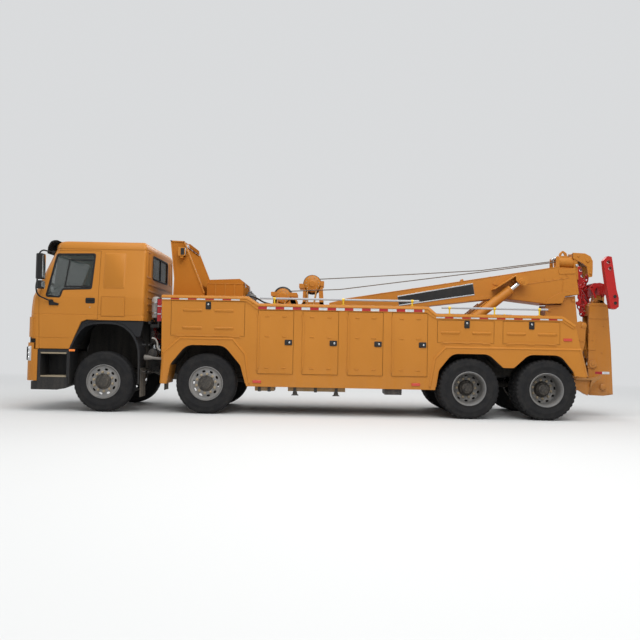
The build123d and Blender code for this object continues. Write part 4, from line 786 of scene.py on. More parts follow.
SCREEN_LOW, SCREEN_HIGH, SCREEN_FOOT, SCREEN_HEAD = 2092, 2783, 1003, 919
rows, across = 14, 30
for inset in (14, 22):
    grid = []
    for r in range(rows + 1):
        z = SCREEN_LOW + (SCREEN_HIGH - SCREEN_LOW) * r / rows
        reach = SCREEN_FOOT + (SCREEN_HEAD - SCREEN_FOOT) * r / rows
        reach -= 38 * (1 - min(1, min(r, rows - r) / 1.2)) ** 2
        for c in range(across + 1):
            y = reach * (2 * c / across - 1)
            grid.append((screen_x(y, z, inset), y, z))
    w = across + 1
    glass.add(grid, [
        (r * w + c, r * w + c + 1, (r + 1) * w + c + 1, (r + 1) * w + c) for r in range(rows) for c in range(across)
    ])
half_count = (rows + 1) * (across + 1)
edge = [*range(w)] + [r * w + across for r in range(1, rows + 1)] + [rows * w + c for c in range(across - 1, -1, -1)]
edge += [r * w for r in range(rows - 1, 0, -1)]
glass.faces += [(a, b, b + half_count, a + half_count) for a, b in zip(edge, edge[1:] + edge[:1])]
screen_glass = glass.made("windscreen_pane", tinted.material, "chassis", "clear_glass")
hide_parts("cab_glass")
rear_panes, rear_seals, rear_press = Shape(), Shape(), Shape()
rear_panes.across(back_window_line, CAB_REAR - 18, CAB_REAR - 12)
rear_seals.rings([
    [(CAB_REAR + out, y, z) for y, z in shrunk(back_window_line, inset)]
    for inset, out in ((-16, 7), (12, 7), (12, -16), (-16, -2))
], closed=True)
for low, high in ((-1075, -800), (800, 1075)):
    press = rounded([(low, 2380), (high, 2380), (high * 0.97, 2860), (low * 0.97, 2860)], 40)
    rear_press.rings([
        [(CAB_REAR + out, y, z) for y, z in shrunk(press, inset)] for inset, out in ((0, -2), (8, 8), (26, 8), (34, -2))
    ], closed=True)
for z in (1780, 1900, 2020, 2140, 2260):
    rear_press.across(soft_box(-980, 980, z, z + 34, 14), CAB_REAR - 3, CAB_REAR + 8)
rear_seals.slab((CAB_REAR - 20, 10, 2402), (CAB_REAR + 2, 50, 2805))
rear_panes.made("rear_panes", tinted.material, "chassis", "clear_glass")
rear_seals.made("rear_window_seals", seal_black, "chassis", "trim_plastic", ease=2)
rear_press.made("rear_wall_pressings", yellow, "chassis", "yellow_paint", ease=4)
grille = Shape()
for z in range(1340, 1640, 46):
    path = [(screen_x(y, z, 0), y) for y in [640 * (2 * c / 24 - 1) for c in range(25)]]
    grille.plan([(x - 26, y) for x, y in path] + [(x + 6, y) for x, y in reversed(path)], z, z + 26)
    grille.plan([(x - 16, y) for x, y in path] + [(x + 6, y) for x, y in reversed(path)], z + 26, z + 46)
grille.made("grille_slats", trim_black, "chassis", "trim_plastic", ease=3)
corner_panels, nose_shroud = Shape(), Shape()
for low, high, proud in ((1288, 1640, 26), (1602, 1640, 27)):
    for hand in (-1, 1):
        line = [(screen_x(y, low, 0), y) for y in range(655, 1081, 25)]
        bend = [CAB_HALF - CAB_CORNER + CAB_CORNER * sin(radians(t)) for t in range(10, 90, 10)]
        line += [(screen_x(y, low, 0), y) for y in bend] + [(CAB_FRONT + CAB_CORNER, CAB_HALF)]
        n, middle = len(line), Vector((-900, 700))
        outer = []
        for i, (x, y) in enumerate(line):
            flow = Vector(line[min(i + 1, n - 1)]) - Vector(line[max(i - 1, 0)])
            out = Vector((-flow.y, flow.x)).normalized()
            if out.x > 0.01:
                out = -out
            outer.append((max(x + out.x * proud, CAB_FRONT + 2), min(y + abs(out.y) * min(proud, 9), CAB_HALF + 8)))
        band_line = [(x, hand * y) for x, y in outer + [(x + 8, y - 6) for x, y in reversed(line)]]
        corner_panels.plan(band_line, low, high)
corner_panels.made("nose_corner_panels", yellow, "chassis", "yellow_paint", ease=6, lines=3)
nose_shroud.slab((-1310, -1150, 1150), (-1160, 1150, 1300))
nose_shroud.slab((-1290, -1195, 1160), (-1200, 1195, 1290))
nose_shroud.made("nose_shroud", liner_dark, "chassis", "trim_plastic", ease=6)
wipers = Shape()
for y in (-560, 120):
    foot = (screen_x(y, 2080, -6), y, 2062)
    tip = (screen_x(y + 430, 2230, -16), y + 430, 2250)
    wipers.bar((foot[0] - 12, foot[1], foot[2]), tip, 8, 12)
    wipers.bar((screen_x(y + 160, 2160, -14), y + 160, 2150), (screen_x(y + 720, 2330, -14), y + 640, 2345), 7, 12)
wipers.made("wipers", trim_black, "chassis", "trim_plastic")

# Sun visor, mirrors and their arms: black moulded plastic shells on bent steel tube, screwed to the cab.
visor = Shape()
visor_line = [
    (-1160, 2800), (-1140, 2868), (-1112, 2930), (-1080, 2976), (-1045, 3006), (-1000, 3021), (-950, 3025),
    (-925, 3020), (-960, 3008), (-1000, 3003), (-1034, 2989), (-1066, 2962), (-1094, 2920), (-1122, 2862),
    (-1142, 2800)
]
slices = []
for k in range(15):
    share = 2 * k / 14 - 1
    pull = 70 * max(0, abs(share) - 0.86) / 0.14
    slices.append([
        (x + pull * (3060 - z) / 300, 1035 * share, z + pull * 0.35 * (1 if z < 2900 else 0)) for x, z in visor_line
    ])
visor.rings(slices)
visor.made("sun_visor", seal_black, "chassis", "trim_plastic", ease=2, angle=50)
visor_feet = Shape()
for y in (-700, 0, 700):
    visor_feet.side([(-1098, 2908), (-1040, 2990), (-975, 3006), (-905, 3000), (-958, 2866)], y - 12, y + 12)
visor_feet.made("visor_stays", trim_black, "chassis", "trim_plastic", ease=2)


def tube(name, route, radius, material, body, smooth=True, local_steps=6):
    """Bent tube or hose through a list of places."""
    curve = bpy.data.curves.new(name, "CURVE")
    curve.dimensions, curve.bevel_depth, curve.bevel_resolution, curve.use_fill_caps = "3D", radius / 1000, 4, True
    if smooth:
        line = curve.splines.new("BEZIER")
        line.bezier_points.add(len(route) - 1)
        for point, place in zip(line.bezier_points, route):
            point.co = at(*place)
            point.handle_left_type = point.handle_right_type = "AUTO"
    else:
        line = curve.splines.new("POLY")
        line.points.add(len(route) - 1)
        for point, place in zip(line.points, route):
            point.co = (*at(*place), 1)
    curve.resolution_u = local_steps
    holder = bpy.data.objects.new(name, curve)
    bpy.context.scene.collection.objects.link(holder)
    bpy.context.view_layer.update()
    mesh = bpy.data.meshes.new_from_object(holder.evaluated_get(bpy.context.evaluated_depsgraph_get()))
    bpy.data.objects.remove(holder)
    mesh.materials.clear()
    mesh.materials.append(material)
    mesh.polygons.foreach_set("use_smooth", [True] * len(mesh.polygons))
    made = bpy.data.objects.new(name, mesh)
    bpy.context.scene.collection.objects.link(made)
    if body:
        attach(made, body)
    return made


mirror_silver = Finish("mirror_silver", {"Base Color": (0.75, 0.77, 0.78, 1), "Metallic": 1.0})
mirror_silver.feed(Roughness=mirror_silver.noise(mirror_silver.place(), 6, 3) * 0.08)
for hand, word in SIDES:
    body = f"cab_door_{word}"
    shell = Shape()
    for low, high, front, rear in ((2290, 2732, -1128, -1006), (2124, 2266, -1112, -1008)):
        inner, outer = span(hand, 1334, 1496)
        shell.plan(rounded([
            (front, inner + 30), (front, outer - 30), (front + 40, outer), (rear, outer), (rear, inner),
            (front + 40, inner)
        ], 24), low, high)
    housing = shell.made(f"{body}_mirror_shells", seal_black, body, "trim_plastic", ease=26, lines=4, angle=50)
    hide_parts(f"mirror_{word}")
    face = Shape()
    for low, high, rear in ((2308, 2714, -1005), (2138, 2252, -1007)):
        inner, outer = span(hand, 1350, 1480)
        face.across(soft_box(inner, outer, low, high, 26), rear - 3, rear + 3)
    face.made(f"{body}_mirror_faces", mirror_silver.material, body, "clear_glass", ease=1)
    tube(f"{body}_mirror_arm", [
        (-960, hand * 1140, 2790), (-1010, hand * 1250, 2796), (-1060, hand * 1380, 2788), (-1088, hand * 1418, 2735),
        (-1096, hand * 1424, 2500), (-1112, hand * 1428, 2280), (-1126, hand * 1424, 2120), (-1100, hand * 1385, 2020),
        (-1010, hand * 1305, 1960), (-930, hand * 1262, 1925),
    ], 13, seal_black, body)
    foot = Shape()
    on_flank(foot, rounded([
        (-968, 1952), (-962, 1852), (-794, 1852), (-795, 1884), (-880, 1908), (-900, 1950)
    ], 12), hand, 22, 1)
    on_flank(foot, rounded([(-985, 2762), (-925, 2762), (-918, 2812), (-975, 2812)], 10), hand, 20, 1)
    foot.made(f"{body}_mirror_feet", seal_black, body, "trim_plastic", ease=5)

# Bumper, head lamps, step box and front mudguards: the bumper is pressed steel in the cab's colour, the lower trim
# is black moulded plastic with chequered steel treads, and each lamp is a glass lens before a bright bowl.
dress(yellow, "yellow_paint", "front_bumper")
lens = Finish("lamp_lens", {
    "Base Color": (0.9, 0.92, 0.92, 1), "Roughness": 0.05, "Transmission Weight": 0.75, "IOR": 1.45
})
flutes = lens.node("ShaderNodeTexWave", {"bands_direction": "Y"}, {"Vector": lens.place(), "Scale": 26.0})
lens.bumps((flutes, 0.0015))
bright_bowl = Finish("bright_bowl", {"Base Color": (0.8, 0.8, 0.8, 1), "Metallic": 1.0})
bright_bowl.feed(Roughness=bright_bowl.noise(bright_bowl.place(), 30, 3) * 0.15 + 0.06)
amber = Finish("amber_lens", {"Roughness": 0.15, "Coat Weight": 0.6})
amber.feed(Base_Color=amber.blend(amber.noise(amber.place(), 60, 2), (0.75, 0.16, 0.01, 1), (0.9, 0.24, 0.02, 1)))
red_lens = Finish("red_lens", {"Roughness": 0.2, "Coat Weight": 0.5})
red_lens.feed(Base_Color=red_lens.blend(
    red_lens.noise(red_lens.place(), 60, 2), (0.45, 0.03, 0.012, 1), (0.55, 0.05, 0.02, 1)
))
bowls, lenses, surround = Shape(), Shape(), Shape()
CORNER_X, CORNER_Y, CORNER_R = -1176, 1050, 190
for hand in (-1, 1):
    for z in (925, 1003, 1081):
        a = radians(38)
        way = (-cos(a), hand * sin(a), 0)
        place = (CORNER_X - (CORNER_R - 30) * cos(a), hand * (CORNER_Y + (CORNER_R - 30) * sin(a)), z)
        bowls.turned([(8, 4), (22, 10), (33, 26), (37, 37), (41, 38), (41, 0), (8, 0)], place, way, 36, closed=True)
        lenses.turned([(0, 43), (16, 41), (28, 37), (35, 31), (35, 28), (0, 34)], place, way, 36)
    arc = [(
        CORNER_X - (CORNER_R + 4) * cos(radians(t)), hand * (CORNER_Y + (CORNER_R + 4) * sin(radians(t)))
    ) for t in range(14, 67, 4)]
    back = [(
        CORNER_X - (CORNER_R - 6) * cos(radians(t)), hand * (CORNER_Y + (CORNER_R - 6) * sin(radians(t)))
    ) for t in range(66, 13, -4)]
    surround.plan(arc + back, 876, 1130)
bowl_piece = bowls.made("lamp_bowls", bright_bowl.material, "chassis", "lamp_lens")
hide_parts("lamps")
lenses.made("lamp_lenses", lens.material, "chassis", "lamp_lens")
surround.made("lamp_surrounds", bright_bowl.material, "chassis", "chrome_rod", ease=2)
recess_fill = Shape()
for hand in (-1, 1):
    low, high = span(hand, 1060, 1170)
    recess_fill.slab((-1356, low, 888), (-1312, high, 1118))
recess_fill.made("lamp_recess_blanks", seal_black, "chassis", "trim_plastic", ease=3)
bumper_trim = Shape()
for z in (745, 700, 655):
    bumper_trim.slab((-1332, -560, z), (-1318, 560, z + 26))
bumper_trim.made("bumper_vent_slats", trim_black, "chassis", "trim_plastic", ease=3)
FENDER_OUT, FENDER_LIP, FENDER_IN = 1236, 1196, 770
fender_top = [
    (-606, 470), (-604, 800), (-602, 1080), (-560, 1180), (-500, 1310), (-420, 1440), (-330, 1520), (-220, 1560),
    (-60, 1578), (120, 1578), (250, 1562), (370, 1515), (480, 1430), (560, 1320), (612, 1200), (636, 1080),
    (642, 900), (642, 700), (642, 510)
]
fender_low = [
    (-582, 470), (-580, 800), (-574, 1080), (-532, 1172), (-474, 1295), (-398, 1415), (-316, 1488), (-214, 1524),
    (-58, 1540), (118, 1540), (240, 1526), (350, 1482), (450, 1402), (526, 1300), (578, 1190), (604, 1078),
    (614, 900), (618, 700), (618, 510)
]
fender_middle = [(x * 0.5 + a * 0.5, z * 0.5 + b * 0.5) for (x, z), (a, b) in zip(fender_top, fender_low)]
skirts, lips, treads, step_trim = Shape(), Shape(), Shape(), Shape()
for hand, word in SIDES:
    sections = [[(x, hand * y, z) for (x, z), y in (
        (top, FENDER_OUT), (under, FENDER_OUT), (under, FENDER_LIP), (core, FENDER_LIP), (core, FENDER_IN),
        (top, FENDER_IN),
    )] for top, under, core in zip(fender_top, fender_low, fender_middle)]
    skirts.rings(sections)
    filler = [
        (-589, 1104), (-392, 1570), (-304, 1606), (688, 1606), (688, 1560), (640, 1330), (560, 1330), (480, 1436),
        (370, 1520), (250, 1568), (-60, 1584), (-220, 1566), (-330, 1526), (-420, 1446), (-500, 1316), (-560, 1186)
    ]
    skirts.side(filler, *span(hand, 1205, 1222))
    low, high = span(hand, 806, 1236)
    skirts.side(rounded([
        (-1238, 379), (-1238, 526), (-1134, 526), (-1134, 600), (-596, 600), (-600, 520), (-598, 452), (-781, 379)
    ], 10), low, high)
    skirts.side(soft_box(-1134, -600, 1000, 1084, 8), low, high)
    skirts.side(box_outline(-1134, -1086, 600, 1000), low, high)
    skirts.side(box_outline(-628, -604, 600, 1000), low, high)
    skirts.side(box_outline(-1134, -606, 590, 1010), *span(hand, 806, 830))
    low, high = span(hand, 900, 1232)
    treads.slab((-1080, low, 1000), (-634, high, 1020))
    treads.slab((-1080, low, 600), (-634, high, 618))
    for k in range(7):
        for z in (1020, 618):
            y = hand * (920 + 46 * k)
            treads.slab((-1064, y - 6, z), (-650, y + 6, z + 6))
    low, high = span(hand, 1232, 1240)
    step_trim.slab((-1082, low, 1004), (-634, high, 1030))
    step_trim.slab((-1074, low, 600), (-650, high, 626))
    lips.plan(box_outline(646, 655, *span(hand, 800, 1180)), 274, 780)
    for y in (820, 1160):
        lips.turned([(0, 0), (14, 0), (14, 6), (6, 10), (0, 10)], (655, hand * y, 740), (1, 0, 0), 12)
    Shape().side(soft_box(-590, -486, 1052, 1088, 8), *span(hand, 1236, 1250)).made(
        f"side_marker_front_{word}", amber.material, "chassis", "lamp_lens", ease=3)
lining = Shape()
under = [
    (-586, 1080), (-586, 1104), (-396, 1560), (-304, 1600), (690, 1600), (690, 1592), (-302, 1592), (-390, 1554),
    (-578, 1100), (-578, 1080)
]
lining.side(under, -1234, 1234)
for hand in (-1, 1):
    lining.side([(-520, 760), (-420, 1450), (-280, 1590), (640, 1590), (640, 760)], *span(hand, 545, 552))
lining.made("cab_arch_lining", liner_dark, "chassis", "trim_plastic", ease=1)
skirt_piece = skirts.made("mudguards_and_step_boxes", trim_black, "chassis", "trim_plastic", ease=6, lines=3)
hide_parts("cab_skirts")
treads.made("step_treads", nut_steel, "chassis", "rail_metal", ease=1)
step_trim.made("step_nosings", nut_steel, "chassis", "rail_metal", ease=2)
lips.made("mud_flaps", sprayed(
    "flap_rubber", (0.035, 0.034, 0.033), (0.06, 0.055, 0.05), rough=0.8, coat=0, grime=0.8
), "chassis", "tyre_rubber", ease=2)
seat_cloth = Finish("seat_cloth", {"Roughness": 0.9})
weave = seat_cloth.noise(seat_cloth.place(), 160, 2)
seat_cloth.feed(Base_Color=seat_cloth.blend(weave, (0.05, 0.05, 0.055, 1), (0.11, 0.11, 0.12, 1)))
seat_cloth.bumps((weave, 0.002), edge=0.02)
dress(seat_cloth.material, "seat_fabric", "cab_interior")

# Behind the cab: the air cleaner canister, the silencer under it, and the pipes, cables and cross frame between the
# cab and the body. Bought-in parts of painted sheet steel and black rubber hose, clamped to a frame of angle.
canister_grey = sprayed(
    "canister_grey", (0.34, 0.33, 0.31), (0.27, 0.26, 0.24), rough=0.45, coat=0.1, grime=0.7, grime_top=2.4
)
pipe_grey = sprayed("pipe_grey", (0.17, 0.165, 0.155), (0.12, 0.105, 0.09), rough=0.5, coat=0.0, grime=0.4, metal=0.3)
hose_black = sprayed(
    "hose_rubber", (0.016, 0.016, 0.017), (0.028, 0.027, 0.026), rough=0.6, coat=0.0, grime=0.25, grime_top=2.0
)
red_paint = sprayed(
    "red_paint", (0.42, 0.012, 0.011), (0.36, 0.01, 0.01), rough=0.38, coat=0.2, grime=0.2, grime_top=1.2, wear=0.45
)
bright_steel = sprayed(
    "bright_steel", (0.5, 0.51, 0.52), (0.42, 0.43, 0.44), rough=0.28, coat=0.0, grime=0.25, metal=0.9
)
canister = Shape().turned(
    [
        (0, 0), (58, 0), (66, 6), (70, 60), (77, 66), (77, 84), (73, 88), (74, 250), (77, 254), (77, 272), (74, 276),
        (72, 340), (60, 366), (34, 380), (0, 384)
    ],
    (829, -900, 1673), (0, 0, 1), 48
).made("air_cleaner_canister", canister_grey, "chassis", "trim_plastic", ease=1)
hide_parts("air_cleaner")
tube(
    "air_intake_elbow", [(829, -900, 1740), (835, -800, 1640), (838, -640, 1590), (838, -420, 1580)], 52, hose_black,
    "chassis"
)
Shape().turned(
    [
        (0, 0), (70, 0), (83, 10), (86, 22), (84, 36), (84, 290), (86, 296), (86, 312), (84, 318), (84, 565),
        (86, 578), (82, 590), (60, 600), (0, 600)
    ],
    (842, -1120, 1040), (0, 1, 0), 44
).made("silencer", hose_black, "chassis", "trim_plastic", ease=1)
Shape().turned(
    [(30, 0), (46, 4), (46, 60), (40, 96), (27, 150), (24, 160), (24, 330), (20, 330), (20, 150), (30, 90), (38, 20)],
    (700, -1140, 972), (1, 0, -0.07), 32, closed=True
).made("exhaust_tail", pipe_grey, "chassis", "trim_plastic", ease=1)
tube("brake_hoses", [
    (830, -1150, 1310), (880, -1150, 1300), (925, -1140, 1230), (930, -1140, 1150), (985, -1140, 1090)
], 15, canister_grey, "chassis")
between = Shape()
for hand in (-1, 1):
    between.slab((720, hand * 760 - 20, 900), (760, hand * 760 + 20, 1650))
    between.slab((900, hand * 700 - 20, 950), (935, hand * 700 + 20, 1900))
for z in (1180, 705):
    between.slab((664, -1160, z), (800, -1130, z + 26))
    between.slab((736, -1160, z), (766, -750, z + 26))
between.slab((722, -1000, 1560), (758, 1000, 1610))
between.slab((902, -1040, 1500), (930, 1040, 1550))
between.slab((902, -1040, 1180), (930, 1040, 1216))
for y in (-930, -480, 0, 480, 930):
    between.slab((744, y - 8, 1500), (930, y + 8, 1556))
for hand in (-1, 1):
    between.side(soft_box(888, 976, 1600, 2018, 10), *span(hand, 1060, 1071))
    low, high = span(hand, 1040, 1062)
    between.slab((902, low, 1504), (930, high, 1990))
between.made("frame_behind_cab", chassis_black, "chassis", "chassis_paint", ease=2)
for k in range(5):
    y = -620 + 62 * k
    tube(
        f"air_line_{k + 1}",
        [(730, y, 1500), (775, y + 20, 1320 - 24 * k), (860, y + 90, 1290 - 20 * k), (900, y + 120, 1460)], 8,
        hose_black if k % 2 else red_paint, "chassis"
    )
tube(
    "cab_coil_hose", [(820 + 34 * cos(a * 0.7), -1020 + 34 * sin(a * 0.7), 1230 + a * 4.4) for a in range(46)], 7,
    hose_black, "chassis", local_steps=3
)
clamps = Shape()
for z in (1750, 1935):
    clamps.turned(box_outline(78, 81, 0, 22), (829, -900, z), (0, 0, 1), 40, closed=True)
for y in (-1010, -640):
    clamps.turned(box_outline(87, 91, 0, 34), (842, y, 1040), (0, 1, 0), 40, closed=True)
    clamps.slab((842 - 14, y + 4, 1120), (842 + 14, y + 30, 1190))
clamps.made("canister_and_silencer_clamps", bright_steel, "chassis", "rail_metal", ease=1)

# Recovery body: folded sheet-steel locker sides under glossy yellow-orange paint, a deep rim along the top edge and
# wide flares round the wheel arches. The rim, beads and hinge knuckles are pressed or welded on before spraying.
dress(yellow, "yellow_paint", "locker_body_left", "locker_body_right", *[
    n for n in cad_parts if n.startswith("door_") and not n.startswith("door_glass")])
BODY_HALF = 1235
rim_top = [(1005, 2070), (2512, 2070), (2698, 1950), (5668, 1950), (5817, 1828), (8015, 1828), (8243, 1679)]
rim_low = [(1005, 1978), (2486, 1978), (2672, 1844), (5636, 1844), (5784, 1742), (7986, 1742), (8206, 1600)]
flare_lines = (
    [(1034, 524), (1060, 1060), (1350, 1315), (2259, 1315), (2475, 1060), (2558, 552)],
    [(5716, 552), (5800, 1050), (5982, 1240), (8325, 1240), (8438, 775)],
)
arch_lines = (
    rounded([
        (1116, 530), (1178, 870), (1452, 1212), (2120, 1212), (2412, 870), (2503, 552)
    ], [0, 180, 260, 260, 180, 0]),
    rounded([
        (5809, 552), (5856, 850), (6090, 1146), (6730, 1146), (6987, 915), (7165, 915), (7420, 1150), (7980, 1150),
        (8215, 860), (8240, 775)
    ], [0, 180, 240, 240, 30, 30, 240, 240, 180, 0]),
)


def edging_along(shape, path, hand, section):
    """Strip led along a side-view path: its section says how far out it stands and how far left of the path."""
    rows = []
    for i, spot in enumerate(path):
        here = Vector(spot)
        back = (here - Vector(path[i - 1])).normalized() if i else (Vector(path[1]) - here).normalized()
        on = (Vector(path[i + 1]) - here).normalized() if i + 1 < len(path) else back
        way = (back + on).normalized()
        stretch = 1 / max(way.dot(back), 0.5)
        up = Vector((-way.y, way.x)) * stretch
        rows.append([(here.x + up.x * lift, hand * (BODY_HALF + out), here.y + up.y * lift) for out, lift in section])
    return shape.rings(rows)


rims, hems, ridges = Shape(), Shape(), Shape()
ROLLED_EDGE = [(12, -54), (24, -48), (26, -36), (20, -18), (8, -4), (-8, 3), (-24, 4), (-26, -10), (-10, -40)]
RIDGE = [(-1, 30), (27, 4), (28, -2), (14, -18), (-1, -18)]
LIP = [(12, 6), (22, 3), (24, -3), (19, -9), (12, -10)]
for hand in (-1, 1):
    rims.side(rim_top + rim_low[::-1], *span(hand, BODY_HALF - 2, BODY_HALF + 13))
    edging_along(hems, rim_top, hand, ROLLED_EDGE)
    for line in flare_lines:
        edging_along(ridges, line, hand, RIDGE)
    for line in arch_lines:
        edging_along(ridges, line, hand, LIP)
rims.made("body_rims", yellow, "chassis", "yellow_paint", ease=3)
hems.made("body_rim_hems", yellow, "chassis", "yellow_paint", angle=50)
ridges.made("wheel_arch_ridges", yellow, "chassis", "yellow_paint", angle=30, ease=1.5)


def bead(shape, low_x, high_x, z, hand, tall=56, proud=15):
    """Long pressed bead with sloped edges and rounded ends."""
    y = hand * (BODY_HALF - 1)
    base = rounded(box_outline(low_x, high_x, z - tall / 2, z + tall / 2), tall * 0.49, 4)
    top = shrunk(base, tall * 0.3)
    return shape.rings([[(x, y, h) for x, h in base], [(x, y + hand * (proud + 1), h) for x, h in top]])


latch_black = sprayed("latch_black", (0.013, 0.013, 0.014), (0.02, 0.02, 0.02), rough=0.35, coat=0.2, grime=0.2)


def paddle_latch(body, hand, x, z, plate, handle, button):
    """Latch on a locker door: a flat plate, a raised handle and a bright round lock."""
    face, latch = hand * BODY_HALF, Shape()
    for (low_x, high_x, low_z, high_z), proud, radius in ((plate, 13, 16), (handle, 21, 10)):
        outline = rounded(box_outline(x + low_x, x + high_x, z + low_z, z + high_z), radius)
        latch.side(outline, *span(hand, BODY_HALF, BODY_HALF + proud))
    latch.made(f"{body}_latch", latch_black, body, "trim_plastic", ease=4)
    Shape().turned(
        [(0, 0), (17, 0), (17, 7), (13, 10), (5, 10), (4, 7), (0, 7)],
        (x + button[0], face + hand * 13, z + button[1]), (0, hand, 0), 24,
    ).made(f"{body}_latch_button", bright_steel, body, "chrome_rod", ease=1)


tall_doors = (("d1", 2701, 3317), ("d2", 3483, 4101), ("d3", 4273, 4881), ("d4", 5046, 5658))
drop_doors = (
    ("a", 1178, 2458, 1367, 1971, ((1374, 1723), (1927, 2276)), (1810, 1502), (1356, 1836, 2301), (1823, 1896)),
    ("d5", 5836, 6817, 1330, 1717, ((5889, 6232), (6432, 6781)), (1500,), (5993, 6341, 6681), (6346, 1651)),
    ("d6", 6979, 7967, 1330, 1717, ((7036, 7379), (7579, 7922)), (1500,), (7110, 7476, 7840), (7476, 1652)),
)
for hand, word in SIDES:
    face = hand * BODY_HALF
    knuckles = Shape()
    for door, front, rear in tall_doors:
        body = f"door_{door}_{word}"
        marks = Shape()
        for x in (front + 160, rear - 157):
            for z in (1727, 1377, 830):
                bead(marks, x - 40, x + 40, z, hand, tall=28, proud=9)
        marks.made(f"{body}_dimples", yellow, body, "yellow_paint")
        paddle_latch(body, hand, rear - 83, 1277, (-65, 65, -47, 47), (-44, 4, -26, 26), (18, 0))
        for z in (1690, 1330, 970):
            knuckles.bar((front - 9, face + hand * 3, z - 50), (front - 9, face + hand * 3, z + 50), 8, 14)
        bead(knuckles, front + 4, rear - 4, 716, hand, tall=9, proud=5)
    for door, front, rear, low_z, high_z, spans, heights, hinges, (x, z) in drop_doors:
        body = f"door_{door}_{word}"
        marks = Shape()
        for start, end in spans:
            for height in heights:
                bead(marks, start, end, height, hand)
        marks.made(f"{body}_beads", yellow, body, "yellow_paint")
        paddle_latch(body, hand, x, z, (-47, 47, -66, 66), (-26, 26, -52, -6), (0, 20))
        for hinge in hinges:
            knuckles.bar((hinge - 62, face + hand * 4, low_z - 9), (hinge + 62, face + hand * 4, low_z - 9), 10, 14)
            knuckles.side(
                soft_box(hinge - 56, hinge + 56, low_z - 34, low_z - 8, 6), *span(hand, BODY_HALF - 2, BODY_HALF + 5)
            )
    knuckles.made(f"locker_hinges_{word}", yellow, "chassis", "yellow_paint", ease=1.5)

# Reflective tape in red and white lengths along both rims and down the body's front wall, and red side markers: a
# prismatic film stuck on after painting, its little cells just catching the light.
tapes = {}
for word, shade in (("white", (0.56, 0.58, 0.59)), ("red", (0.36, 0.006, 0.01))):
    film = Finish(f"tape_{word}", {
        "Roughness": 0.4, "Coat Weight": 0.2, "Coat Roughness": 0.15, "Specular IOR Level": 0.3
    })
    cells = film.node("ShaderNodeTexVoronoi", {"feature": "DISTANCE_TO_EDGE"}, {"Vector": film.place(), "Scale": 160.0})
    dirt = film.noise(film.place(), 14, 4)
    film.feed(Base_Color=film.blend(
        film.step(dirt, 0.4, 0.75) * 0.5, (*shade, 1), (*[c * 0.6 + 0.05 for c in shade], 1)
    ))
    film.bumps((cells, 0.0008))
    tapes[word] = film.material
SEGMENT = 151
film_pieces = {"white": Shape(), "red": Shape()}
for hand in (-1, 1):
    low, high = span(hand, BODY_HALF + 12.6, BODY_HALF + 14)
    for start, end, middle, tall, odd in (
        (1012, 2376, 2019, 52, 0), (2697, 5600, 1876, 50, 1), (5806, 8010, 1774, 46, 0)
    ):
        x = start
        while x < end - 20:
            stop = min(x + SEGMENT, end)
            film_pieces["red" if odd else "white"].side(
                box_outline(x, stop - 2, middle - tall / 2, middle + tall / 2), low, high)
            x, odd = stop, 1 - odd
    for k in range(8):
        z = 1612 + 49 * k
        film_pieces["white" if k % 2 else "red"].across(
            box_outline(*span(hand, 1180, 1232), z, z + 48), 1003.2, 1005.5
        )
    low, high = span(hand, 1071, 1073)
    for z, tall, shade in (
        (1612, 118, "red"), (1732, 16, "white"), (1750, 118, "red"), (1870, 16, "white"), (1888, 117, "red")
    ):
        film_pieces[shade].side(box_outline(896, 968, z, z + tall), low, high)
for word, film in film_pieces.items():
    film.made(f"reflective_tape_{word}", tapes[word], "chassis", "lamp_lens")
markers = Shape()
for hand in (-1, 1):
    for x, z in ((2697, 586), (5466, 587), (8106, 1415)):
        markers.side(soft_box(x - 75, x + 75, z - 24, z + 24, 9), *span(hand, BODY_HALF - 1, BODY_HALF + 15))
markers.made("side_markers", red_lens.material, "chassis", "lamp_lens", ease=5, lines=3)

# Deck, wheel-arch liners and handrails: tread plate on cross bearers, black moulded liners, and a silver tube rail
# screwed to short yellow posts so that nobody steps off the deck's edge.
tread = Finish("deck_tread_plate", {"Coat Weight": 0.2, "Coat Roughness": 0.25})
tread_place = tread.place()
bars_1 = tread.node("ShaderNodeTexWave", {"bands_direction": "DIAGONAL"}, {"Vector": tread_place, "Scale": 14.0})
turned_place = tread.node("ShaderNodeVectorMath", {"operation": "MULTIPLY"}, {0: tread_place, 1: (1, -1, 1)})
bars_2 = tread.node("ShaderNodeTexWave", {"bands_direction": "DIAGONAL"}, {"Vector": turned_place, "Scale": 14.0})
tread_worn = tread.noise(tread_place, 2.2, 5)
scuffed = tread.step(tread_worn, 0.52, 0.66) * 0.55
tread.feed(
    Base_Color=tread.blend(scuffed, (0.44, 0.17, 0.024, 1), (0.18, 0.13, 0.085, 1)),
    Roughness=0.45 + scuffed * 0.4,
)
tread.bumps((tread.step(bars_1 * bars_2, 0.45, 0.7), 0.002), edge=0.003)
dress(tread.material, "yellow_paint", "deck")
liner_black = sprayed(
    "liner_black", (0.012, 0.012, 0.012), (0.03, 0.028, 0.026), rough=0.75, coat=0.0, grime=0.3, grime_top=1.6
)
dress(liner_black, "trim_plastic", "arch_liners")
splash = Shape()
for hand in (-1, 1):
    low, high = span(hand, 545, 552)
    splash.side(box_outline(1010, 2600, 700, 1500), low, high)
    splash.side([(5690, 700), (5690, 1300), (8420, 1300), (8420, 820)], low, high)
splash.made("body_splash_walls", liner_black, "chassis", "trim_plastic", ease=1)
rails, posts = Shape(), Shape()
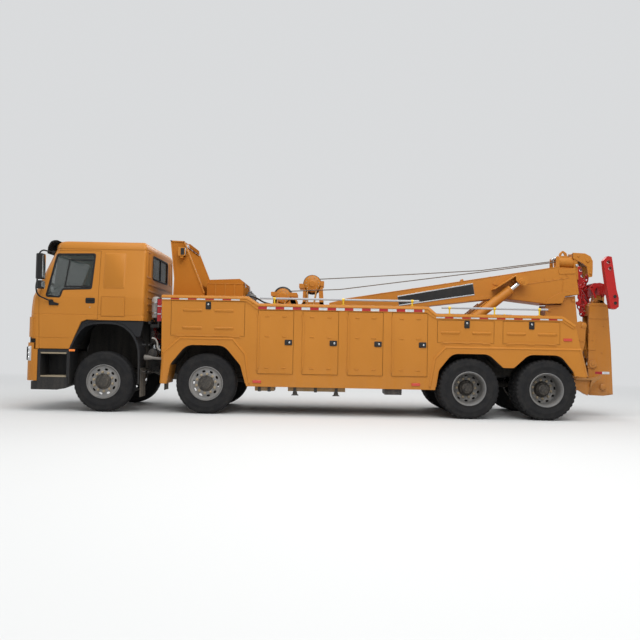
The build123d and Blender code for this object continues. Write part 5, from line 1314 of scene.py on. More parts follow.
for hand in (-1, 1):
    y = hand * 1200
    for start, end, z, feet, foot_z in (
        (2720, 5510, 2044, (2974, 4181, 5388), 1950), (5906, 7770, 1938, (6044, 6832, 7617), 1828),
    ):
        rails.bar((start, y, z), (end, y, z), 18, 24)
        for x in feet:
            posts.bar((x, y, foot_z - 2), (x, y, z - 12), 13, 18)
            posts.slab((x - 32, y - 24, foot_z), (x + 32, y + 24, foot_z + 7))
            posts.turned(box_outline(19, 24, -22, 22), (x, y, z), (1, 0, 0), 24, closed=True)
            for side in (-20, 20):
                posts.turned([(6, 0), (6, 5), (3, 7)], (x + side, y - hand * 12, foot_z + 7), (0, 0, 1), 6)
rail_silver = sprayed("rail_silver", (0.4, 0.4, 0.41), (0.34, 0.34, 0.35), rough=0.4, coat=0.2, grime=0.15)
rail_piece = rails.made("deck_handrails", rail_silver, "chassis", "rail_metal", ease=1)
posts.made(
    "handrail_posts", sprayed("post_yellow", (0.75, 0.5, 0.03), (0.7, 0.44, 0.03), rough=0.4, coat=0.2, grime=0.3),
    "chassis", "yellow_paint", ease=1.5
)
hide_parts("deck_rails")

# Tanks and boxes slung under the body between the axles: welded sheet under ochre paint that the road has dulled,
# held up by steel straps on rubber pads.
tank_brown = sprayed(
    "tank_ochre", (0.26, 0.15, 0.05), (0.2, 0.12, 0.045), rough=0.5, coat=0.05, grime=0.75, grime_top=0.9
)
dress(tank_brown, "orange_tank", "tanks")
slung, feet = Shape(), Shape()
for hand in (-1, 1):
    low, high = span(hand, 716, 1184)
    for x in (2740, 2910, 3360, 3722, 4084):
        slung.side(box_outline(x - 26, x + 26, 414, 424), low, high)
        edge = span(hand, 1181, 1186)
        slung.side(box_outline(x - 26, x + 26, 414, 560), *edge)
    for x in (3360, 4084):
        feet.side([
            (x - 66, 352), (x + 66, 352), (x + 40, 372), (x + 34, 414), (x - 34, 414), (x - 40, 372)
        ], *span(hand, 1010, 1150))
    feet.side(rounded([(4930, 398), (5228, 398), (5232, 526), (4926, 526)], 10), *span(hand, 714, 1186))
slung.made("tank_straps", chassis_black, "chassis", "chassis_paint", ease=1.5)
feet.made("tank_feet", chassis_black, "chassis", "chassis_paint", ease=3)

# Head frame behind the cab: a portal of folded plate that carries the work lamps and guards the winches, with a
# sloping panel between its cheeks. Welded to the deck and sprayed with the body.
# The head frame's own plates take a darker, matt copy of the body's yellow: painted shade for a frame that stands
# partly in shadow. Its flanges keep the full yellow.
shaded_matt_yellow = sprayed(
    "shaded_matt_yellow", (0.43, 0.155, 0.022), (0.4, 0.14, 0.02), rough=0.7, coat=0.0, grime=0.12, grime_top=1.0, shine=0.0
)
dress(shaded_matt_yellow, "yellow_paint", "gantry")
head_extra, lamp_glass, lamp_rims = Shape(), Shape(), Shape()
for hand in (-1, 1):
    low, high = span(hand, 752, 790)
    head_extra.side([(1105, 2070), (1117, 2400), (1037, 3092), (1060, 3092), (1140, 2400), (1128, 2070)], low, high)
    head_extra.side([(1037, 3092), (1290, 3082), (1282, 3062), (1040, 3070)], low, high)
    head_extra.side([(1290, 3082), (1680, 2147), (1658, 2139), (1268, 3074)], low, high)
    head_extra.side(box_outline(1085, 1700, 2070, 2084), *span(hand, 770, 960))
    head_extra.side(rounded([
        (1204, 2800), (1204, 2955), (1312, 2955), (1330, 2925), (1330, 2800)
    ], 8), *span(hand, 774, 928))
    low, high = span(hand, 790, 914)
    lamp_glass.across(soft_box(low, high, 2812, 2944, 16), 1326, 1336)
    low, high = span(hand, 784, 920)
    lamp_rims.across(soft_box(low, high, 2806, 2950, 18), 1310, 1332)
    lamp_rims.side(soft_box(1250, 1316, 2816, 2940, 14), *span(hand, 925, 932))
for z in (2330, 2560, 2790):
    x = 1117 - 80 * (z - 2400) / 688 if z > 2400 else 1115
    head_extra.slab((x + 24, -752, z - 22), (x + 34, 752, z + 22))
head_extra.slab((1052, -752, 3040), (1066, 752, 3092))
head_extra.slab((1262, -752, 3030), (1290, 752, 3078))
head_extra.made("head_frame_flanges", yellow, "chassis", "yellow_paint", ease=4)
lamp_glass.made("work_lamp_glasses", bright_bowl.material, "chassis", "lamp_lens", ease=2)
lamp_rims.made("work_lamp_rims", latch_black, "chassis", "trim_plastic", ease=2)
lamp_bar = Shape()
for y in (-520, -180, 180, 520):
    lamp_bar.across(soft_box(y - 120, y + 120, 2986, 3040, 14), 1300, 1330)
lamp_white = Finish("lamp_white", {"Roughness": 0.18, "Coat Weight": 0.5, "Coat Roughness": 0.06})
lamp_white.feed(Base_Color=lamp_white.blend(
    lamp_white.noise(lamp_white.place(), 9, 3), (0.62, 0.64, 0.65, 1), (0.5, 0.52, 0.54, 1)
))
lamp_bar.made("head_frame_lamps", lamp_white.material, "chassis", "lamp_lens", ease=4)

# Deck box behind the head frame: folded sheet with a hinged lid for chains and slings. Its walls are stiffened by
# welded ribs, and two steel catches hold the lid down.
box_lines, box_metal = Shape(), Shape()
box_lines.plan(box_outline(1684, 2366, -628, 628), 2330, 2340)
for y in (-400, 0, 400):
    box_lines.slab((2358, y - 8, 2096), (2368, y + 8, 2328))
for x in (1850, 2025, 2200):
    for hand in (-1, 1):
        low, high = span(hand, 620, 628)
        box_lines.slab((x - 9, low, 2096), (x + 9, high, 2328))
box_lines.made("deck_box_ribs", yellow, "chassis", "yellow_paint", ease=2)
for y in (-360, 360):
    box_metal.slab((2364, y - 30, 2290), (2374, y + 30, 2372))
    box_metal.bar((2378, y - 22, 2300), (2378, y + 22, 2300), 7, 14)
box_metal.made("deck_box_catches", bright_steel, "chassis", "chrome_rod", ease=1)

# Winches: cast drums between black flanges in welded yellow frames, each with a planetary gearbox and a hydraulic
# motor. Hoses run to them from the valve block behind the deck box.
steel_rope = Finish("steel_rope", {"Metallic": 0.75})
rope_place = steel_rope.place()
strands = steel_rope.node("ShaderNodeTexWave", {"bands_direction": "DIAGONAL"}, {"Vector": rope_place, "Scale": 60.0})
rope_dirt = steel_rope.noise(rope_place, 20, 4)
steel_rope.feed(
    Base_Color=steel_rope.blend(rope_dirt, (0.09, 0.075, 0.06, 1), (0.24, 0.21, 0.18, 1)),
    Roughness=0.45 + strands * 0.2,
)
steel_rope.bumps((strands, 0.002))
strut_yellow = sprayed("strut_yellow", (0.56, 0.3, 0.09), (0.5, 0.27, 0.09), rough=0.4, coat=0.2, grime=0.2)
WINCHES = (
    # name, drum station, side and height, case radius, legs (foot, head), ears (low, high station, low, high height)
    ("near", 3087, -350, 2130, 128, (((2900, 2960), (2920, 2990)), ((3250, 3357), (3200, 3290))),
     ((2866, 2970, 2128, 2206), (3190, 3350, 2120, 2196)), 0.0),
    ("far", 3615, 300, 2420, 152, (((3432, 3480), (3440, 3500)), ((3766, 3846), (3730, 3815))),
     ((3361, 3480, 2336, 2420), (3740, 3842, 2380, 2478)), 0.7),
)
DECK_TOP = 1950
for word, x, y, z, case_r, legs, ears, turn in WINCHES:
    frame_front, frame_rear = legs[0][0][0], legs[1][0][1]
    plates, drum, gear, bolts, struts = Shape(), Shape(), Shape(), Shape(), Shape()
    for side in (-1, 1):
        low, high = sorted((y + side * 232, y + side * 248))
        for (foot_a, foot_b), (head_a, head_b) in legs:
            plates.side([(foot_a, DECK_TOP), (foot_b, DECK_TOP), (head_b, z - 10), (head_a, z - 10)], low, high)
        plates.side([
            (frame_front, DECK_TOP), (frame_rear, DECK_TOP), (frame_rear - 10, 2070), (frame_front + 8, 2070)
        ], low, high)
        for ear in ears:
            plates.side(soft_box(*ear, 14), *sorted((y + side * 150, y + side * 262)))
        plates.turned(box_outline(60, case_r + 16, 0, 16), (x, low, z), (0, 1, 0), 44, closed=True)
        low, high = sorted((y + side * 200, y + side * 228))
        drum.turned([
            (60, 0), (168, 0), (176, 4), (178, 12), (176, 22), (164, 26), (60, 28)
        ], (x, low, z), (0, 1, 0), 56, closed=True)
        low, high = sorted((y + side * 246, y + side * 270))
        for bottom in (frame_front + 20, frame_rear - 20):
            plates.slab((bottom - 26, low, DECK_TOP), (bottom + 26, high, DECK_TOP + 12))
        struts.bar((x - 95, y + side * 268, 1964), (x - 95, y + side * 268, z - 60), 13)
        struts.bar((x + 20, y + side * 268, 1964), (x + 96, y + side * 268, z - 20), 13)
    coils = [(0, -200)]
    for k in range(20):
        mid = -190 + 20 * k
        coils += [(112 + 10 * sin(radians(a)), mid - 10 * cos(radians(a))) for a in (10, 50, 90, 130, 170)]
    coils.append((0, 200))
    rope_turns = Shape().turned(coils, (x, y, z), (0, 1, 0), 56)
    rope_turns.made(f"winch_rope_turns_{word}", steel_rope.material, "chassis", "cast_metal", angle=80)
    gear.turned([
        (0, 0), (118, 0), (128, 10), (128, 40), (104, 48), (100, 88), (84, 96), (80, 120), (44, 128), (0, 128)
    ], (x, y + 248, z), (0, 1, 0), 48)
    gear.turned([
        (0, 0), (case_r - 4, 0), (case_r, 8), (case_r, 26), (case_r - 16, 34), (84, 38), (60, 44), (54, 52), (0, 52)
    ], (x, y - 248, z), (0, -1, 0), 48)
    gear.slab((x - 46, y + 370, z - 46), (x + 46, y + 470, z + 46))
    for i in range(12):
        a = 2 * pi * i / 12 + turn
        for out, ring_r, way in ((y + 288, 108, 1), (y - 280, case_r - 28, -1)):
            bolts.turned([(9, 0), (9, 7), (5, 10)], (x + ring_r * cos(a), out, z + ring_r * sin(a)), (0, way, 0), 6)
    plates.side(box_outline(frame_front + 10, frame_rear - 10, DECK_TOP, DECK_TOP + 16), y - 262, y + 262)
    guide = z + (40 if word == "far" else 20)
    plates.bar((x - 150, y - 240, guide), (x - 150, y + 240, guide), 16)
    winch_piece = plates.made(f"winch_frame_{word}", yellow, "chassis", "yellow_paint", ease=4)
    if word == "near":
        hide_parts("winches")
    struts.made(f"winch_struts_{word}", strut_yellow, "chassis", "yellow_paint", ease=1.5)
    drum.made(f"winch_flanges_{word}", latch_black, "chassis", "black_paint", ease=1.5)
    gear.made(f"winch_gearbox_{word}", yellow, "chassis", "yellow_paint", ease=3)
    bolts.made(f"winch_bolts_{word}", nut_steel, "chassis", "cast_metal", ease=0.8)
    for k in range(3):
        tube(f"winch_hose_{word}_{k + 1}", [
            (x - 20 + 20 * k, y + 460, z + 20 - 20 * k), (x - 60, y + 520 + 20 * k, z - 60),
            (x - 240 - 20 * k, y + 480 + 20 * k, 2010), (2520 + 10 * k, 250 + 60 * k, 1985),
        ], 12, hose_black, "chassis")
block, fittings = Shape(), Shape()
block.slab((2400, -430, 1955), (2560, 430, 2060))
block.slab((2380, -200, 2060), (2520, 260, 2180))
for k in range(8):
    y = -170 + 55 * k
    block.slab((2400, y - 20, 2180), (2470, y + 20, 2225))
    fittings.bar((2435, y, 2225), (2435, y, 2262), 8, 12)
    fittings.turned([(15, 0), (15, 14), (11, 20)], (2522, y, 2110), (1, 0, 0), 6)
block.made("valve_block", cast_grey, "chassis", "cast_metal", ease=3)
fittings.made("valve_fittings", bright_steel, "chassis", "chrome_rod", ease=1)
for k in range(6):
    y = -300 - 36 * k
    tube(
        f"deck_hose_{k + 1}",
        [
            (2440, y + 140, 2060), (2451, y, 2168 - 10 * k), (2579, y - 20, 2098), (2737, y - 10, 2016),
            (2860, y + 30, 1985)
        ],
        13, hose_black if k % 3 else canister_grey, "chassis"
    )

# Boom: a long box girder of welded plate on a pivot in the sub-frame, stiffened where the lift cylinders push on it.
# Doubler plates, stiffeners and pin bosses are welded on, then it is sprayed; the joints keep a raised bead of weld.
BOOM_FOOT, BOOM_RISE = (4080, 1895), radians(9.64)
BOOM_HALF = 270


def along(u, v):
    """Station and height of a place given along the boom from its pivot and square to it."""
    x = BOOM_FOOT[0] + u * cos(BOOM_RISE) - v * sin(BOOM_RISE)
    return x, BOOM_FOOT[1] + u * sin(BOOM_RISE) + v * cos(BOOM_RISE)


dress(yellow, "yellow_paint", "boom", "boom_ext", "lift_barrels", "underlift_arm")
doublers, welds, pins = Shape(), Shape(), Shape()
for hand in (-1, 1):
    face = hand * BOOM_HALF
    for outline, thick in (
        ([(2960, 60), (3180, 178), (3560, 186), (3640, 100), (3560, -40), (3300, -62)], 14),
        ([
            (2500, -196), (2905, -212), (3232, -258), (3760, -410), (3800, -330), (3300, -190), (2900, -150),
            (2520, -140)
        ], 8),
        ([(3900, -455), (4225, -492), (4304, -362), (4560, -372), (4560, -300), (4240, -280), (3960, -380)], 10),
        ([(-60, -50), (-60, 60), (-40, 150), (330, 186), (620, 186), (500, -100), (0, -118)], 10),
        ([(4250, 150), (4560, 108), (4560, 20), (4250, 60)], 12),
    ):
        doublers.side([along(u, v) for u, v in rounded(outline, 22)], *span(hand, BOOM_HALF - 2, BOOM_HALF + thick))
    for start, end in (
        ((3000, -40), (4420, -40)), ((2600, -186), (3240, -232)), ((3240, -232), (3900, -440)),
        ((4330, 126), (4420, -40)), ((4190, -480), (4320, -60))
    ):
        a, b = along(*start), along(*end)
        welds.bar((a[0], face + hand * 1, a[1]), (b[0], face + hand * 1, b[1]), 6, 8)
    for u, v, r in ((0, 0, 74), (3420, 60, 66)):
        x, z = along(u, v)
        pins.turned([
            (0, 0), (r, 0), (r, 18), (r - 10, 26), (r * 0.5, 28), (r * 0.5, 34), (0, 34)
        ], (x, face + hand * 6, z), (0, hand, 0), 36)
        low, high = span(hand, BOOM_HALF + 36, BOOM_HALF + 44)
        pins.slab((x - 16, low, z - 50), (x + 16, high, z + 50))
    pins.turned(
        [(0, 0), (52, 0), (52, 10), (46, 16), (20, 16), (18, 24), (0, 24)], (7500, hand * 493, 2498), (0, hand, 0), 36
    )
    pins.side(box_outline(7486, 7514, 2440, 2470), *span(hand, 493, 506))
    for k in range(7):
        x, z = along(3330 + 160 * k, 20 - 6 * k)
        pins.turned([(9, 0), (9, 8), (5, 11)], (x, face + hand * 1, z), (0, hand, 0), 6)
top_plate = Shape()
for u in (900, 1500, 2130, 3000):
    a, b = along(u - 30, 197), along(u + 30, 197)
    top_plate.side([a, b, (b[0] - 4, b[1] + 22), (a[0] + 4, a[1] + 22)], -60, 60)
a, b = along(2440, 197), along(2510, 197)
top_plate.side([a, b, (b[0] - 20, b[1] + 52), (a[0] + 6, a[1] + 52)], -46, 46)
a, b = along(200, 199), along(4236, 199)
for hand in (-1, 1):
    top_plate.side([(a[0], a[1] - 10), (b[0], b[1] - 10), (b[0], b[1] + 4), (a[0], a[1] + 4)], *span(hand, 256, 276))
top_plate.made("boom_top_guides", yellow, "boom", "yellow_paint", ease=3)
doublers.made("boom_doubler_plates", yellow, "boom", "yellow_paint", ease=3)
welds.made("boom_weld_beads", yellow, "boom", "yellow_paint")
pins.made("boom_pin_heads", yellow, "boom", "yellow_paint", ease=2)

# Boom signs: blank black sheet-metal plates, one on each flank of the boom, framed in a pale metal edging strip
# and held on by rivets.
sign, edging, rivets = Shape(), Shape(), Shape()
for hand in (-1, 1):
    corners = [(5223, 2195), (5257, 2008), (6677, 2239), (6643, 2464)]
    sign.side(shrunk(corners, 14), *span(hand, BOOM_HALF + 1, BOOM_HALF + 5))
    edging.rings([
        [(x, hand * (BOOM_HALF + out), z) for x, z in shrunk(corners, inset)]
        for inset, out in ((0, -1), (0, 8), (20, 8), (20, -1))
    ], closed=True)
    for s in range(9):
        for t in (0.05, 0.95):
            x = 5223 + 34 * t + 1420 * (0.02 + 0.96 * s / 8)
            z = 2195 - 187 * t + (269 + -38 * t) * (0.02 + 0.96 * s / 8)
            rivets.turned([(0, 0), (7, 0), (7, 2), (4, 4), (0, 4.5)], (x, hand * (BOOM_HALF + 5), z), (0, hand, 0), 14)
sign.made("boom_sign_plates", latch_black, "boom", "black_paint", ease=1)
edging.made("boom_sign_edging", bright_steel, "boom", "rail_metal", ease=1.5)
rivets.made("boom_sign_rivets", bright_steel, "boom", "rail_metal")

# Lift cylinders: honed steel barrels with welded end caps and chromed rods, pinned between the sub-frame and the
# boom. Oil reaches both ends of each barrel through a pipe along its side.
chrome = Finish("chromed_rod", {"Metallic": 1.0})
film = chrome.noise(chrome.place(), 12, 5)
chrome.feed(Base_Color=chrome.blend(film, (0.62, 0.62, 0.63, 1), (0.48, 0.46, 0.43, 1)), Roughness=0.1 + film * 0.18)
chrome.bumps((film, 0.0002))
dress(chrome.material, "chrome_rod", "lift_rods", "fold_rod")
CYL_TOP, CYL_FOOT = Vector((7500, 0, 2498)), Vector((6052, 0, 1300))
BARREL_LENGTH = max(
    v.co.dot((CYL_TOP - CYL_FOOT).normalized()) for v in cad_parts["lift_barrels"].data.vertices
) * 1000
BARREL_LENGTH -= (CYL_FOOT - Vector((MID_STATION, 0, 0))).dot((CYL_TOP - CYL_FOOT).normalized())
run = (CYL_TOP - CYL_FOOT).normalized()
barrel_trim, ports = Shape(), Shape()
for hand in (-1, 1):
    foot = Vector((CYL_FOOT.x, hand * 400, CYL_FOOT.z))
    length = (CYL_TOP - CYL_FOOT).length
    for out, tall, r in ((112, BARREL_LENGTH - 112, 87), (120, 40, 92), (BARREL_LENGTH - 46, 46, 91)):
        barrel_trim.turned([
            (70, 0), (r - 4, 0), (r, 4), (r, tall - 4), (r - 4, tall), (70, tall)
        ], foot + run * out, run, 44, closed=True)
    lift = Vector((run.z, 0, -run.x))
    ports.bar(foot + run * 300 - lift * 70, foot + run * 300 - lift * 110, 20)
    ports.bar(foot + run * 1150 - lift * 70, foot + run * 1150 - lift * 110, 20)
    ports.bar(foot + run * 300 - lift * 100, foot + run * 1150 - lift * 100, 11)
barrel_trim.made("lift_barrel_bands", yellow, "lift_barrels", "yellow_paint", ease=2)
ports.made("lift_barrel_pipes", yellow, "lift_barrels", "yellow_paint", ease=1.5)

# Boom head: it rides on the inner boom and carries the rope drum guide, two grooved cast sheaves on a pin between
# cheek plates, and the forged lifting eye on top.
cheeks, head_pins, sheave, collar = Shape(), Shape(), Shape(), Shape()
cheek_line = [
    (8571, 2985), (8571, 3095), (8800, 3085), (8905, 3030), (8948, 2940), (8948, 2780), (8940, 2640), (8866, 2630),
    (8836, 2830), (8750, 2900)
]
for hand in (-1, 1):
    cheeks.side(rounded(cheek_line, 24), *span(hand, 130, 144))
    sheave.turned([
        (22, -32), (50, -32), (52, -16), (70, -14), (86, -30), (90, -26), (88, -12), (76, -4), (72, 0), (76, 4),
        (88, 12), (90, 26), (86, 30), (70, 14), (52, 16), (50, 32), (22, 32)
    ], (8850, hand * 55, 2948), (0, 1, 0), 48, closed=True)
    for x, z, r in ((8850, 2948, 34), (8668, 3030, 20), (8905, 2700, 22)):
        head_pins.turned([(0, 0), (r, 0), (r, 12), (r - 6, 18), (0, 18)], (x, hand * 144, z), (0, hand, 0), 28)
    collar.side(rounded([
        (8124, 2789), (8156, 2711), (8195, 2648), (8361, 2636), (8376, 2731), (8600, 2760), (8600, 2790), (8350, 2800)
    ], 14), *span(hand, 208, 222))
collar.turned([
    (60, -165), (108, -165), (117, -156), (117, -130), (108, -120), (106, -60), (109, 0), (106, 60), (108, 120),
    (117, 130), (117, 156), (108, 165), (60, 165)
], (8444, 0, 2915), (1, 0, 0), 56, closed=True)
ring = []
for i in range(33):
    a = radians(-35 + 250 * i / 32)
    ring.append((8425 + 62 * cos(a), 0, 3062 + 52 * sin(a)))
for y in (-62, 62):
    collar.side(rounded([(8330, 2990), (8355, 3040), (8500, 3040), (8530, 2990)], 14), y - 10, y + 10)
cheeks.slab((8575, -130, 3062), (8792, 130, 3080))
cheeks.slab((8571, -130, 2985), (8590, 130, 3080))
for y in (-118, 0, 118):
    cheeks.bar((8905, y - 12, 2700), (8905, y + 12, 2700), 30, 20)
cheeks.made("head_cheek_plates", yellow, "boom_ext", "yellow_paint", ease=4)
head_pins.made("head_pins", yellow, "boom_ext", "yellow_paint", ease=2)
sheave.made("head_sheaves", cast_grey, "boom_ext", "cast_metal", ease=1)
collar.made("head_swivel_collar", yellow, "boom_ext", "yellow_paint", ease=4, lines=3)
tube("head_lifting_eye", ring, 17, yellow, "boom_ext")
roller_frame, roller_cheeks = Shape(), Shape()
for y in (-100, 100):
    roller_frame.bar((8640, y - 70, 2850), (8640, y + 70, 2850), 26)
    roller_frame.bar((8262, y - 60, 2985), (8262, y + 60, 2985), 24)
for y in (-190, 190):
    roller_cheeks.side(rounded([
        (8228, 2790), (8234, 3000), (8262, 3022), (8292, 3000), (8300, 2790)
    ], 16), y - 9, y + 9)
roller_frame.made("head_rollers", bright_steel, "boom_ext", "chrome_rod", ease=2)
roller_cheeks.made("head_roller_cheeks", yellow, "boom_ext", "yellow_paint", ease=2)

# Tail frame and folding underlift: a thick-plate arm that folds up behind the truck, a telescoping foot inside it
# and a red crossbar on a swivel with its two fork holders. Knocks and chains have chipped the paint on the edges.
worn_yellow = sprayed(
    "worn_yellow", (0.475, 0.182, 0.025), (0.41, 0.152, 0.02), rough=0.4, coat=0.2, grime=0.3, grime_top=1.3, wear=0.4
)
dress(worn_yellow, "yellow_paint", "tail_frame", "underlift_arm", "underlift_ext", "fold_barrel")
ARM_HALF = 165
arm_plates, arm_pins, tail_plates = Shape(), Shape(), Shape()
for hand, word in SIDES:
    face = hand * ARM_HALF
    low, high = span(hand, ARM_HALF - 2, ARM_HALF + 12)
    arm_plates.side(rounded([(8858, 1240), (8858, 1560), (8905, 1600), (9010, 1560), (9000, 1250)], 20), low, high)
    arm_plates.side(rounded([(8850, 900), (8850, 1045), (8985, 1045), (8990, 900)], 30), low, high)
    arm_plates.side([(8870, 1840), (8870, 2080), (9228, 2080), (9243, 1840)], *span(hand, ARM_HALF - 2, ARM_HALF + 8))
    arm_plates.side([(8858, 424), (8862, 470), (9318, 462), (9322, 424)], *span(hand, ARM_HALF - 2, ARM_HALF + 7))
    arm_pins.turned([
        (0, 0), (74, 0), (74, 30), (66, 38), (32, 38), (30, 46), (0, 46)
    ], (8940, face, 983), (0, hand, 0), 36)
    arm_pins.turned([(0, 0), (58, 0), (58, 20), (50, 26), (0, 26)], (9130, face + hand * 34, 560), (0, hand, 0), 32)
    for x, z in ((8905, 452), (9250, 438), (8900, 420), (9120, 1200), (9150, 1700)):
        arm_pins.turned([(10, 0), (10, 8), (6, 12)], (x, face + hand * 6, z), (0, hand, 0), 6)
    low, high = span(hand, ARM_HALF + 0.6, ARM_HALF + 2.2)
    Shape().side(box_outline(8994, 9128, 797, 843), low, high).made(
        f"arm_tape_red_{word}", tapes["red"], "underlift_arm", "lamp_lens")
    Shape().side(box_outline(9128, 9263, 797, 843), low, high).made(
        f"arm_tape_white_{word}", tapes["white"], "underlift_arm", "lamp_lens")
    tail_plates.side(rounded([
        (8612, 1668), (8770, 1663), (8790, 1593), (8770, 1404), (8700, 1402), (8620, 1480)
    ], 16), *span(hand, 198, 210))
    for x, z, r in ((8760, 1700, 52), (8100, 1680, 30), (8100, 1980, 30), (8560, 2180, 34)):
        tail_plates.turned([(0, 0), (r, 0), (r, 12), (r - 8, 18), (0, 18)], (x, hand * 199, z), (0, hand, 0), 30)
arm_plates.made("arm_doubler_plates", worn_yellow, "underlift_arm", "yellow_paint", ease=3)
arm_pins.made("arm_pins", worn_yellow, "underlift_arm", "yellow_paint", ease=2)
tail_plates.made("tail_doubler_plates", worn_yellow, "chassis", "yellow_paint", ease=2.5)
casting = Shape()
casting.side(rounded([
    (8905, 2086), (8925, 2130), (8990, 2190), (9012, 2290), (9036, 2340), (9104, 2340), (9122, 2290), (9140, 2220),
    (9212, 2140), (9228, 2086)
], 22), -80, 80)
casting.side(rounded([
    (8872, 2086), (8886, 2112), (8950, 2146), (9150, 2146), (9218, 2112), (9230, 2086)
], 16), -160, 160)
for z in (2106, 2128):
    casting.turned([(20, 0), (104, 0), (112, 6), (104, 12), (20, 12)], (9050, 0, z + 34), (0, 0, 1), 40, closed=True)
plates = Shape()
for hand in (-1, 1):
    low, high = span(hand, 163, 181)
    plates.side(rounded([(8872, 1410), (8950, 1432), (8956, 1636), (8872, 1640)], 12), low, high)
    plates.side(rounded([(8876, 1950), (8930, 1950), (8960, 2070), (8876, 2070)], 10), low, high)
plates.made("arm_side_plates", worn_yellow, "underlift_arm", "yellow_paint", ease=4)
scuffed = sprayed(
    "scuffed_scoop", (0.46, 0.2, 0.045), (0.26, 0.12, 0.04), rough=0.55, coat=0.0, grime=0.35, grime_top=2.0, wear=0.4
)
scoop = Shape()
for hand in (-1, 1):
    scoop.side(rounded([
        (8544, 690), (8552, 712), (8700, 718), (8880, 730), (8990, 758), (9036, 786), (9050, 770), (9010, 716),
        (8940, 672), (8880, 620), (8852, 560), (8836, 548), (8822, 566), (8838, 640), (8862, 682), (8700, 684)
    ], 8), *span(hand, 296, 374))
scoop.made("tail_scoop_lips", scuffed, "chassis", "yellow_paint", ease=9, lines=3)
casting.made("swivel_neck_casting", worn_yellow, "underlift_ext", "yellow_paint", ease=12, lines=4)
crossbar = like(Shape().plan(soft_box(9014, 9150, -700, 700, 8), 2290, 2450), "crossbar_weldment")
for hand in (-1, 1):
    low, high = span(hand, 640, 760)
    upright = like(Shape().side(rounded([
        (8912, 2880), (8985, 2963), (9060, 2950), (9150, 2350), (9191, 2200), (9191, 2040), (9130, 1993),
        (9040, 2010), (8990, 2300), (8930, 2700)
    ], 16), low, high))
    for x, z in ((9000, 2850), (9030, 2735), (9120, 2225), (9130, 2105)):
        carve(upright, like(Shape().turned(box_outline(0, 31, -90, 90), (x, hand * 700, z), (0, 1, 0), 32)))
    carve(crossbar, upright, "UNION")
crossbar.data.materials.clear()
crossbar.data.materials.append(red_paint)
crossbar.data.polygons.foreach_set("use_smooth", [True] * len(crossbar.data.polygons))
crossbar.data.set_sharp_from_angle(angle=radians(30))
soften = crossbar.modifiers.new("eased_edges", "BEVEL")
soften.width, soften.segments, soften.harden_normals = 0.006, 3, True
soften.limit_method, soften.angle_limit = "ANGLE", radians(30)
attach(crossbar, "crossbar")
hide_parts("crossbar")
fork = Shape()
for hand in (-1, 1):
    low, high = span(hand, 186, 214)
    fork.side(rounded([
        (8872, 2402), (8892, 2468), (8930, 2506), (9057, 2524), (9150, 2500), (9160, 2300), (9130, 2250),
        (9098, 2250), (9088, 2380), (9050, 2430), (8990, 2430), (8952, 2352), (8996, 2240), (8962, 2228), (8925, 2330)
    ], 12), low, high)
    fork.turned(box_outline(16, 44, 0, 40), (8908, hand * 180 if hand > 0 else -220, 2428), (0, 1, 0), 30, closed=True)
fork.bar((8908, -214, 2428), (8908, 214, 2428), 18)
fork.side(soft_box(8960, 9040, 2446, 2520, 10), -186, 186)
for y in (-430, -330, 330, 430):
    fork.side(soft_box(9004, 9160, 2280, 2460, 12), y - 12, y + 12)
fork.made("crossbar_fork", red_paint, "crossbar", "red_paint", ease=4, lines=3)
bar_trim, bar_pins = Shape(), Shape()
for hand in (-1, 1):
    for x, z, r in ((9000, 2850, 46), (9030, 2735, 46), (9120, 2225, 44), (9130, 2105, 44)):
        for side, way in ((640, -1), (760, 1)):
            bar_trim.turned(
                box_outline(31, r, 0, 6), (x, hand * side, z), (0, hand * way, 0), 36, closed=True
            )
    low, high = span(hand, 560, 642)
    bar_trim.slab((8998, low, 2272), (9162, high, 2468))
    for x, z in ((9120, 2225), (9130, 2105)):
        bar_pins.turned([(0, 0), (29, 0), (29, 112), (24, 116), (0, 116)], (x, hand * 642, z), (0, hand, 0), 28)
bar_trim.made("crossbar_bosses", red_paint, "crossbar", "red_paint", ease=2)
bar_pins.made("crossbar_lock_pins", latch_black, "crossbar", "black_paint", ease=2)
jacket = Shape()
fold_way = Vector((8940 - 8760, 0, 983 - 1700)).normalized()
fold_top = Vector((8760, 0, 1700))
for out, tall, r in ((90, 30, 56), (330, 24, 56), (430, 36, 60)):
    jacket.turned(
        [(49, 0), (r - 3, 0), (r, 4), (r, tall - 4), (r - 3, tall), (49, tall)], fold_top + fold_way * out, fold_way,
        36, closed=True
    )
jacket.made("fold_barrel_bands", worn_yellow, "fold_barrel", "yellow_paint", ease=1.5)

# Winch ropes: steel wire rope led from the two drums over the boom to the sheaves at its head. Each is laid up from
# greased strands and hangs over its sheave to the tackle.


def rope_run(name, route, radius, start, end):
    """Rope along a route in two lengths, split just past station 4700."""
    path = []
    for (a, b) in zip(route, route[1:]):
        steps = max(2, int((Vector(b) - Vector(a)).length / 120))
        path += [tuple(Vector(a).lerp(Vector(b), k / steps)) for k in range(steps)]
    path.append(route[-1])
    split = next(k for k, spot in enumerate(path) if spot[0] > 4700)
    lifting = tube(name, path[:split + 1], radius, steel_rope.material, None, smooth=False)
    at(*start)
    at(*end)
    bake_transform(lifting)
    sliding = tube(f"{name}_reach", path[split:], radius, steel_rope.material, None, smooth=False)
    at(*path[split])
    at(*path[-1])
    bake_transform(sliding)


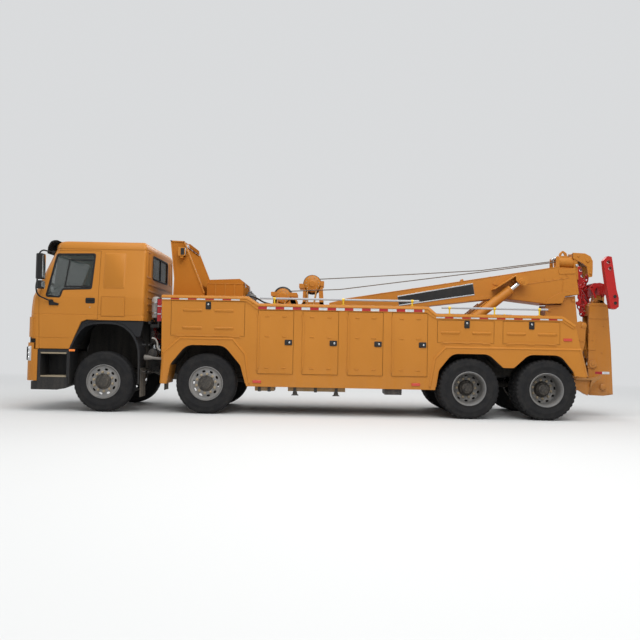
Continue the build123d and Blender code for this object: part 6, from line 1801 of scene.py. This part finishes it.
rope_run(
    "winch_rope_near", [(3120, -300, 2240), (4150, -120, 2310), (6867, -60, 2702), (8190, -55, 2905)], 9,
    (3300, -250, 2260), (4300, -120, 2320)
)
rope_run(
    "winch_rope_far", [(3650, 300, 2530), (4300, 160, 2560), (6867, 90, 2745), (8190, 55, 2935)], 9,
    (3800, 250, 2550), (4600, 150, 2580)
)
for word, y in (("near", -55), ("far", 55)):
    over = [(8200, y, 2925 if y > 0 else 2905), (8500, y, 2988), (8770, y, 3030)]
    over += [(8850 + 84 * sin(radians(a)), y, 2948 + 84 * cos(radians(a))) for a in (-20, 0, 20, 40, 60, 80, 90)]
    over += [(8932, y, 2860), (8915, y, 2790)] if y < 0 else [(8932, y, 2870), (8925, y, 2780)]
    tube(f"head_rope_{word}", over, 9, steel_rope.material, "boom_ext")

# Tow hooks and chain tackle hung at the boom head: forged eye hooks painted red with sprung safety catches, and
# welded chain links round their shanks.


def forged_hook(name, top, turn, size):
    """A swivel eye hook hanging from its top, in the plane turned round the vertical."""
    path = [(0, -40), (0, -95)]
    path += [(44 * cos(radians(a)) - 6, -158 + 54 * sin(radians(a))) for a in range(90, -171, -20)]
    widths = [17, 19] + [19 + 9 * sin(radians(min(180, 14 * k))) for k in range(len(path) - 2)]
    widths[-1], widths[-2] = 9, 14
    rows = []
    for k, (x, z) in enumerate(path):
        before, after = path[max(k - 1, 0)], path[min(k + 1, len(path) - 1)]
        way = Vector((after[0] - before[0], 0, after[1] - before[1])).normalized()
        across = Vector((0, 1, 0))
        out = way.cross(across)
        rows.append([])
        for i in range(14):
            a = 2 * pi * i / 14
            p = Vector((x, 0, z)) + across * widths[k] * 0.8 * cos(a) + out * widths[k] * sin(a)
            p = Matrix.Rotation(turn, 3, "Z") @ p * size
            rows[-1].append(tuple(p + Vector(top)))
    Shape().rings(rows).made(name, red_paint, "boom_ext", "red_paint", angle=60)
    Shape().turned(
        [(0, 0), (26, 0), (30, 8), (30, 36), (22, 46), (0, 46)], Vector(top) + Vector((0, 0, -52 * size)), (0, 0, 1),
        24,
    ).made(f"{name}_swivel", red_paint, "boom_ext", "red_paint", ease=2)


def chain(name, route, wire, pitch):
    """Welded links threaded along a route, each a quarter turn from the last."""
    points, lengths = [Vector(p) for p in route], [0.0]
    for a, b in zip(points, points[1:]):
        lengths.append(lengths[-1] + (b - a).length)

    def spot(d):
        for k in range(len(points) - 1):
            if d <= lengths[k + 1] or k == len(points) - 2:
                return points[k].lerp(points[k + 1], (d - lengths[k]) / (lengths[k + 1] - lengths[k]))

    links = Shape()
    for k in range(int(lengths[-1] / pitch)):
        mid = spot((k + 0.5) * pitch)
        way = (spot(min(lengths[-1], (k + 1) * pitch)) - spot(k * pitch)).normalized()
        side = way.orthogonal().normalized()
        if k % 2:
            side = way.cross(side)
        lift = way.cross(side)
        half, wide = pitch * 0.5 + wire * 0.25, wire * 1.25
        loop = [(-(half - wide) + wide * cos(radians(a)), wide * sin(radians(a))) for a in range(90, 271, 30)]
        loop += [((half - wide) + wide * cos(radians(a)), wide * sin(radians(a))) for a in range(-90, 91, 30)]
        m, rows = len(loop), []
        for j, (s, t) in enumerate(loop):
            here = mid + way * s + side * t
            ahead = Vector(loop[(j + 1) % m]) - Vector(loop[j - 1])
            flow = (way * ahead.x + side * ahead.y).normalized()
            out = flow.cross(lift).normalized()
            turns = [2 * pi * i / 8 for i in range(8)]
            rows.append([tuple(here + (out * cos(a) + lift * sin(a)) * wire / 2) for a in turns])
        links.rings(rows, closed=True)
    links.made(name, red_paint, "boom_ext", "red_paint", angle=70)


forged_hook("tow_hook_near", (8700, -80, 2360), 0.5, 1.15)
forged_hook("tow_hook_far", (8846, 70, 2330), -0.4, 1.15)
chain("tow_chain_near", [(8905, -30, 2700), (8846, -40, 2560), (8760, -60, 2440), (8705, -80, 2330)], 26, 76)
chain("tow_chain_far", [(8905, 40, 2700), (8890, 55, 2560), (8862, 64, 2440), (8848, 70, 2330)], 26, 76)
chain("tackle_chain_1", [
    (8700, -85, 2170), (8716, -60, 2080), (8760, -30, 1980), (8800, 0, 1900), (8850, 20, 1960), (8868, 40, 2080),
    (8858, 60, 2160)
], 26, 76)
chain("tackle_chain_2", [(8640, -90, 2700), (8668, -95, 2560), (8690, -90, 2420)], 24, 70)
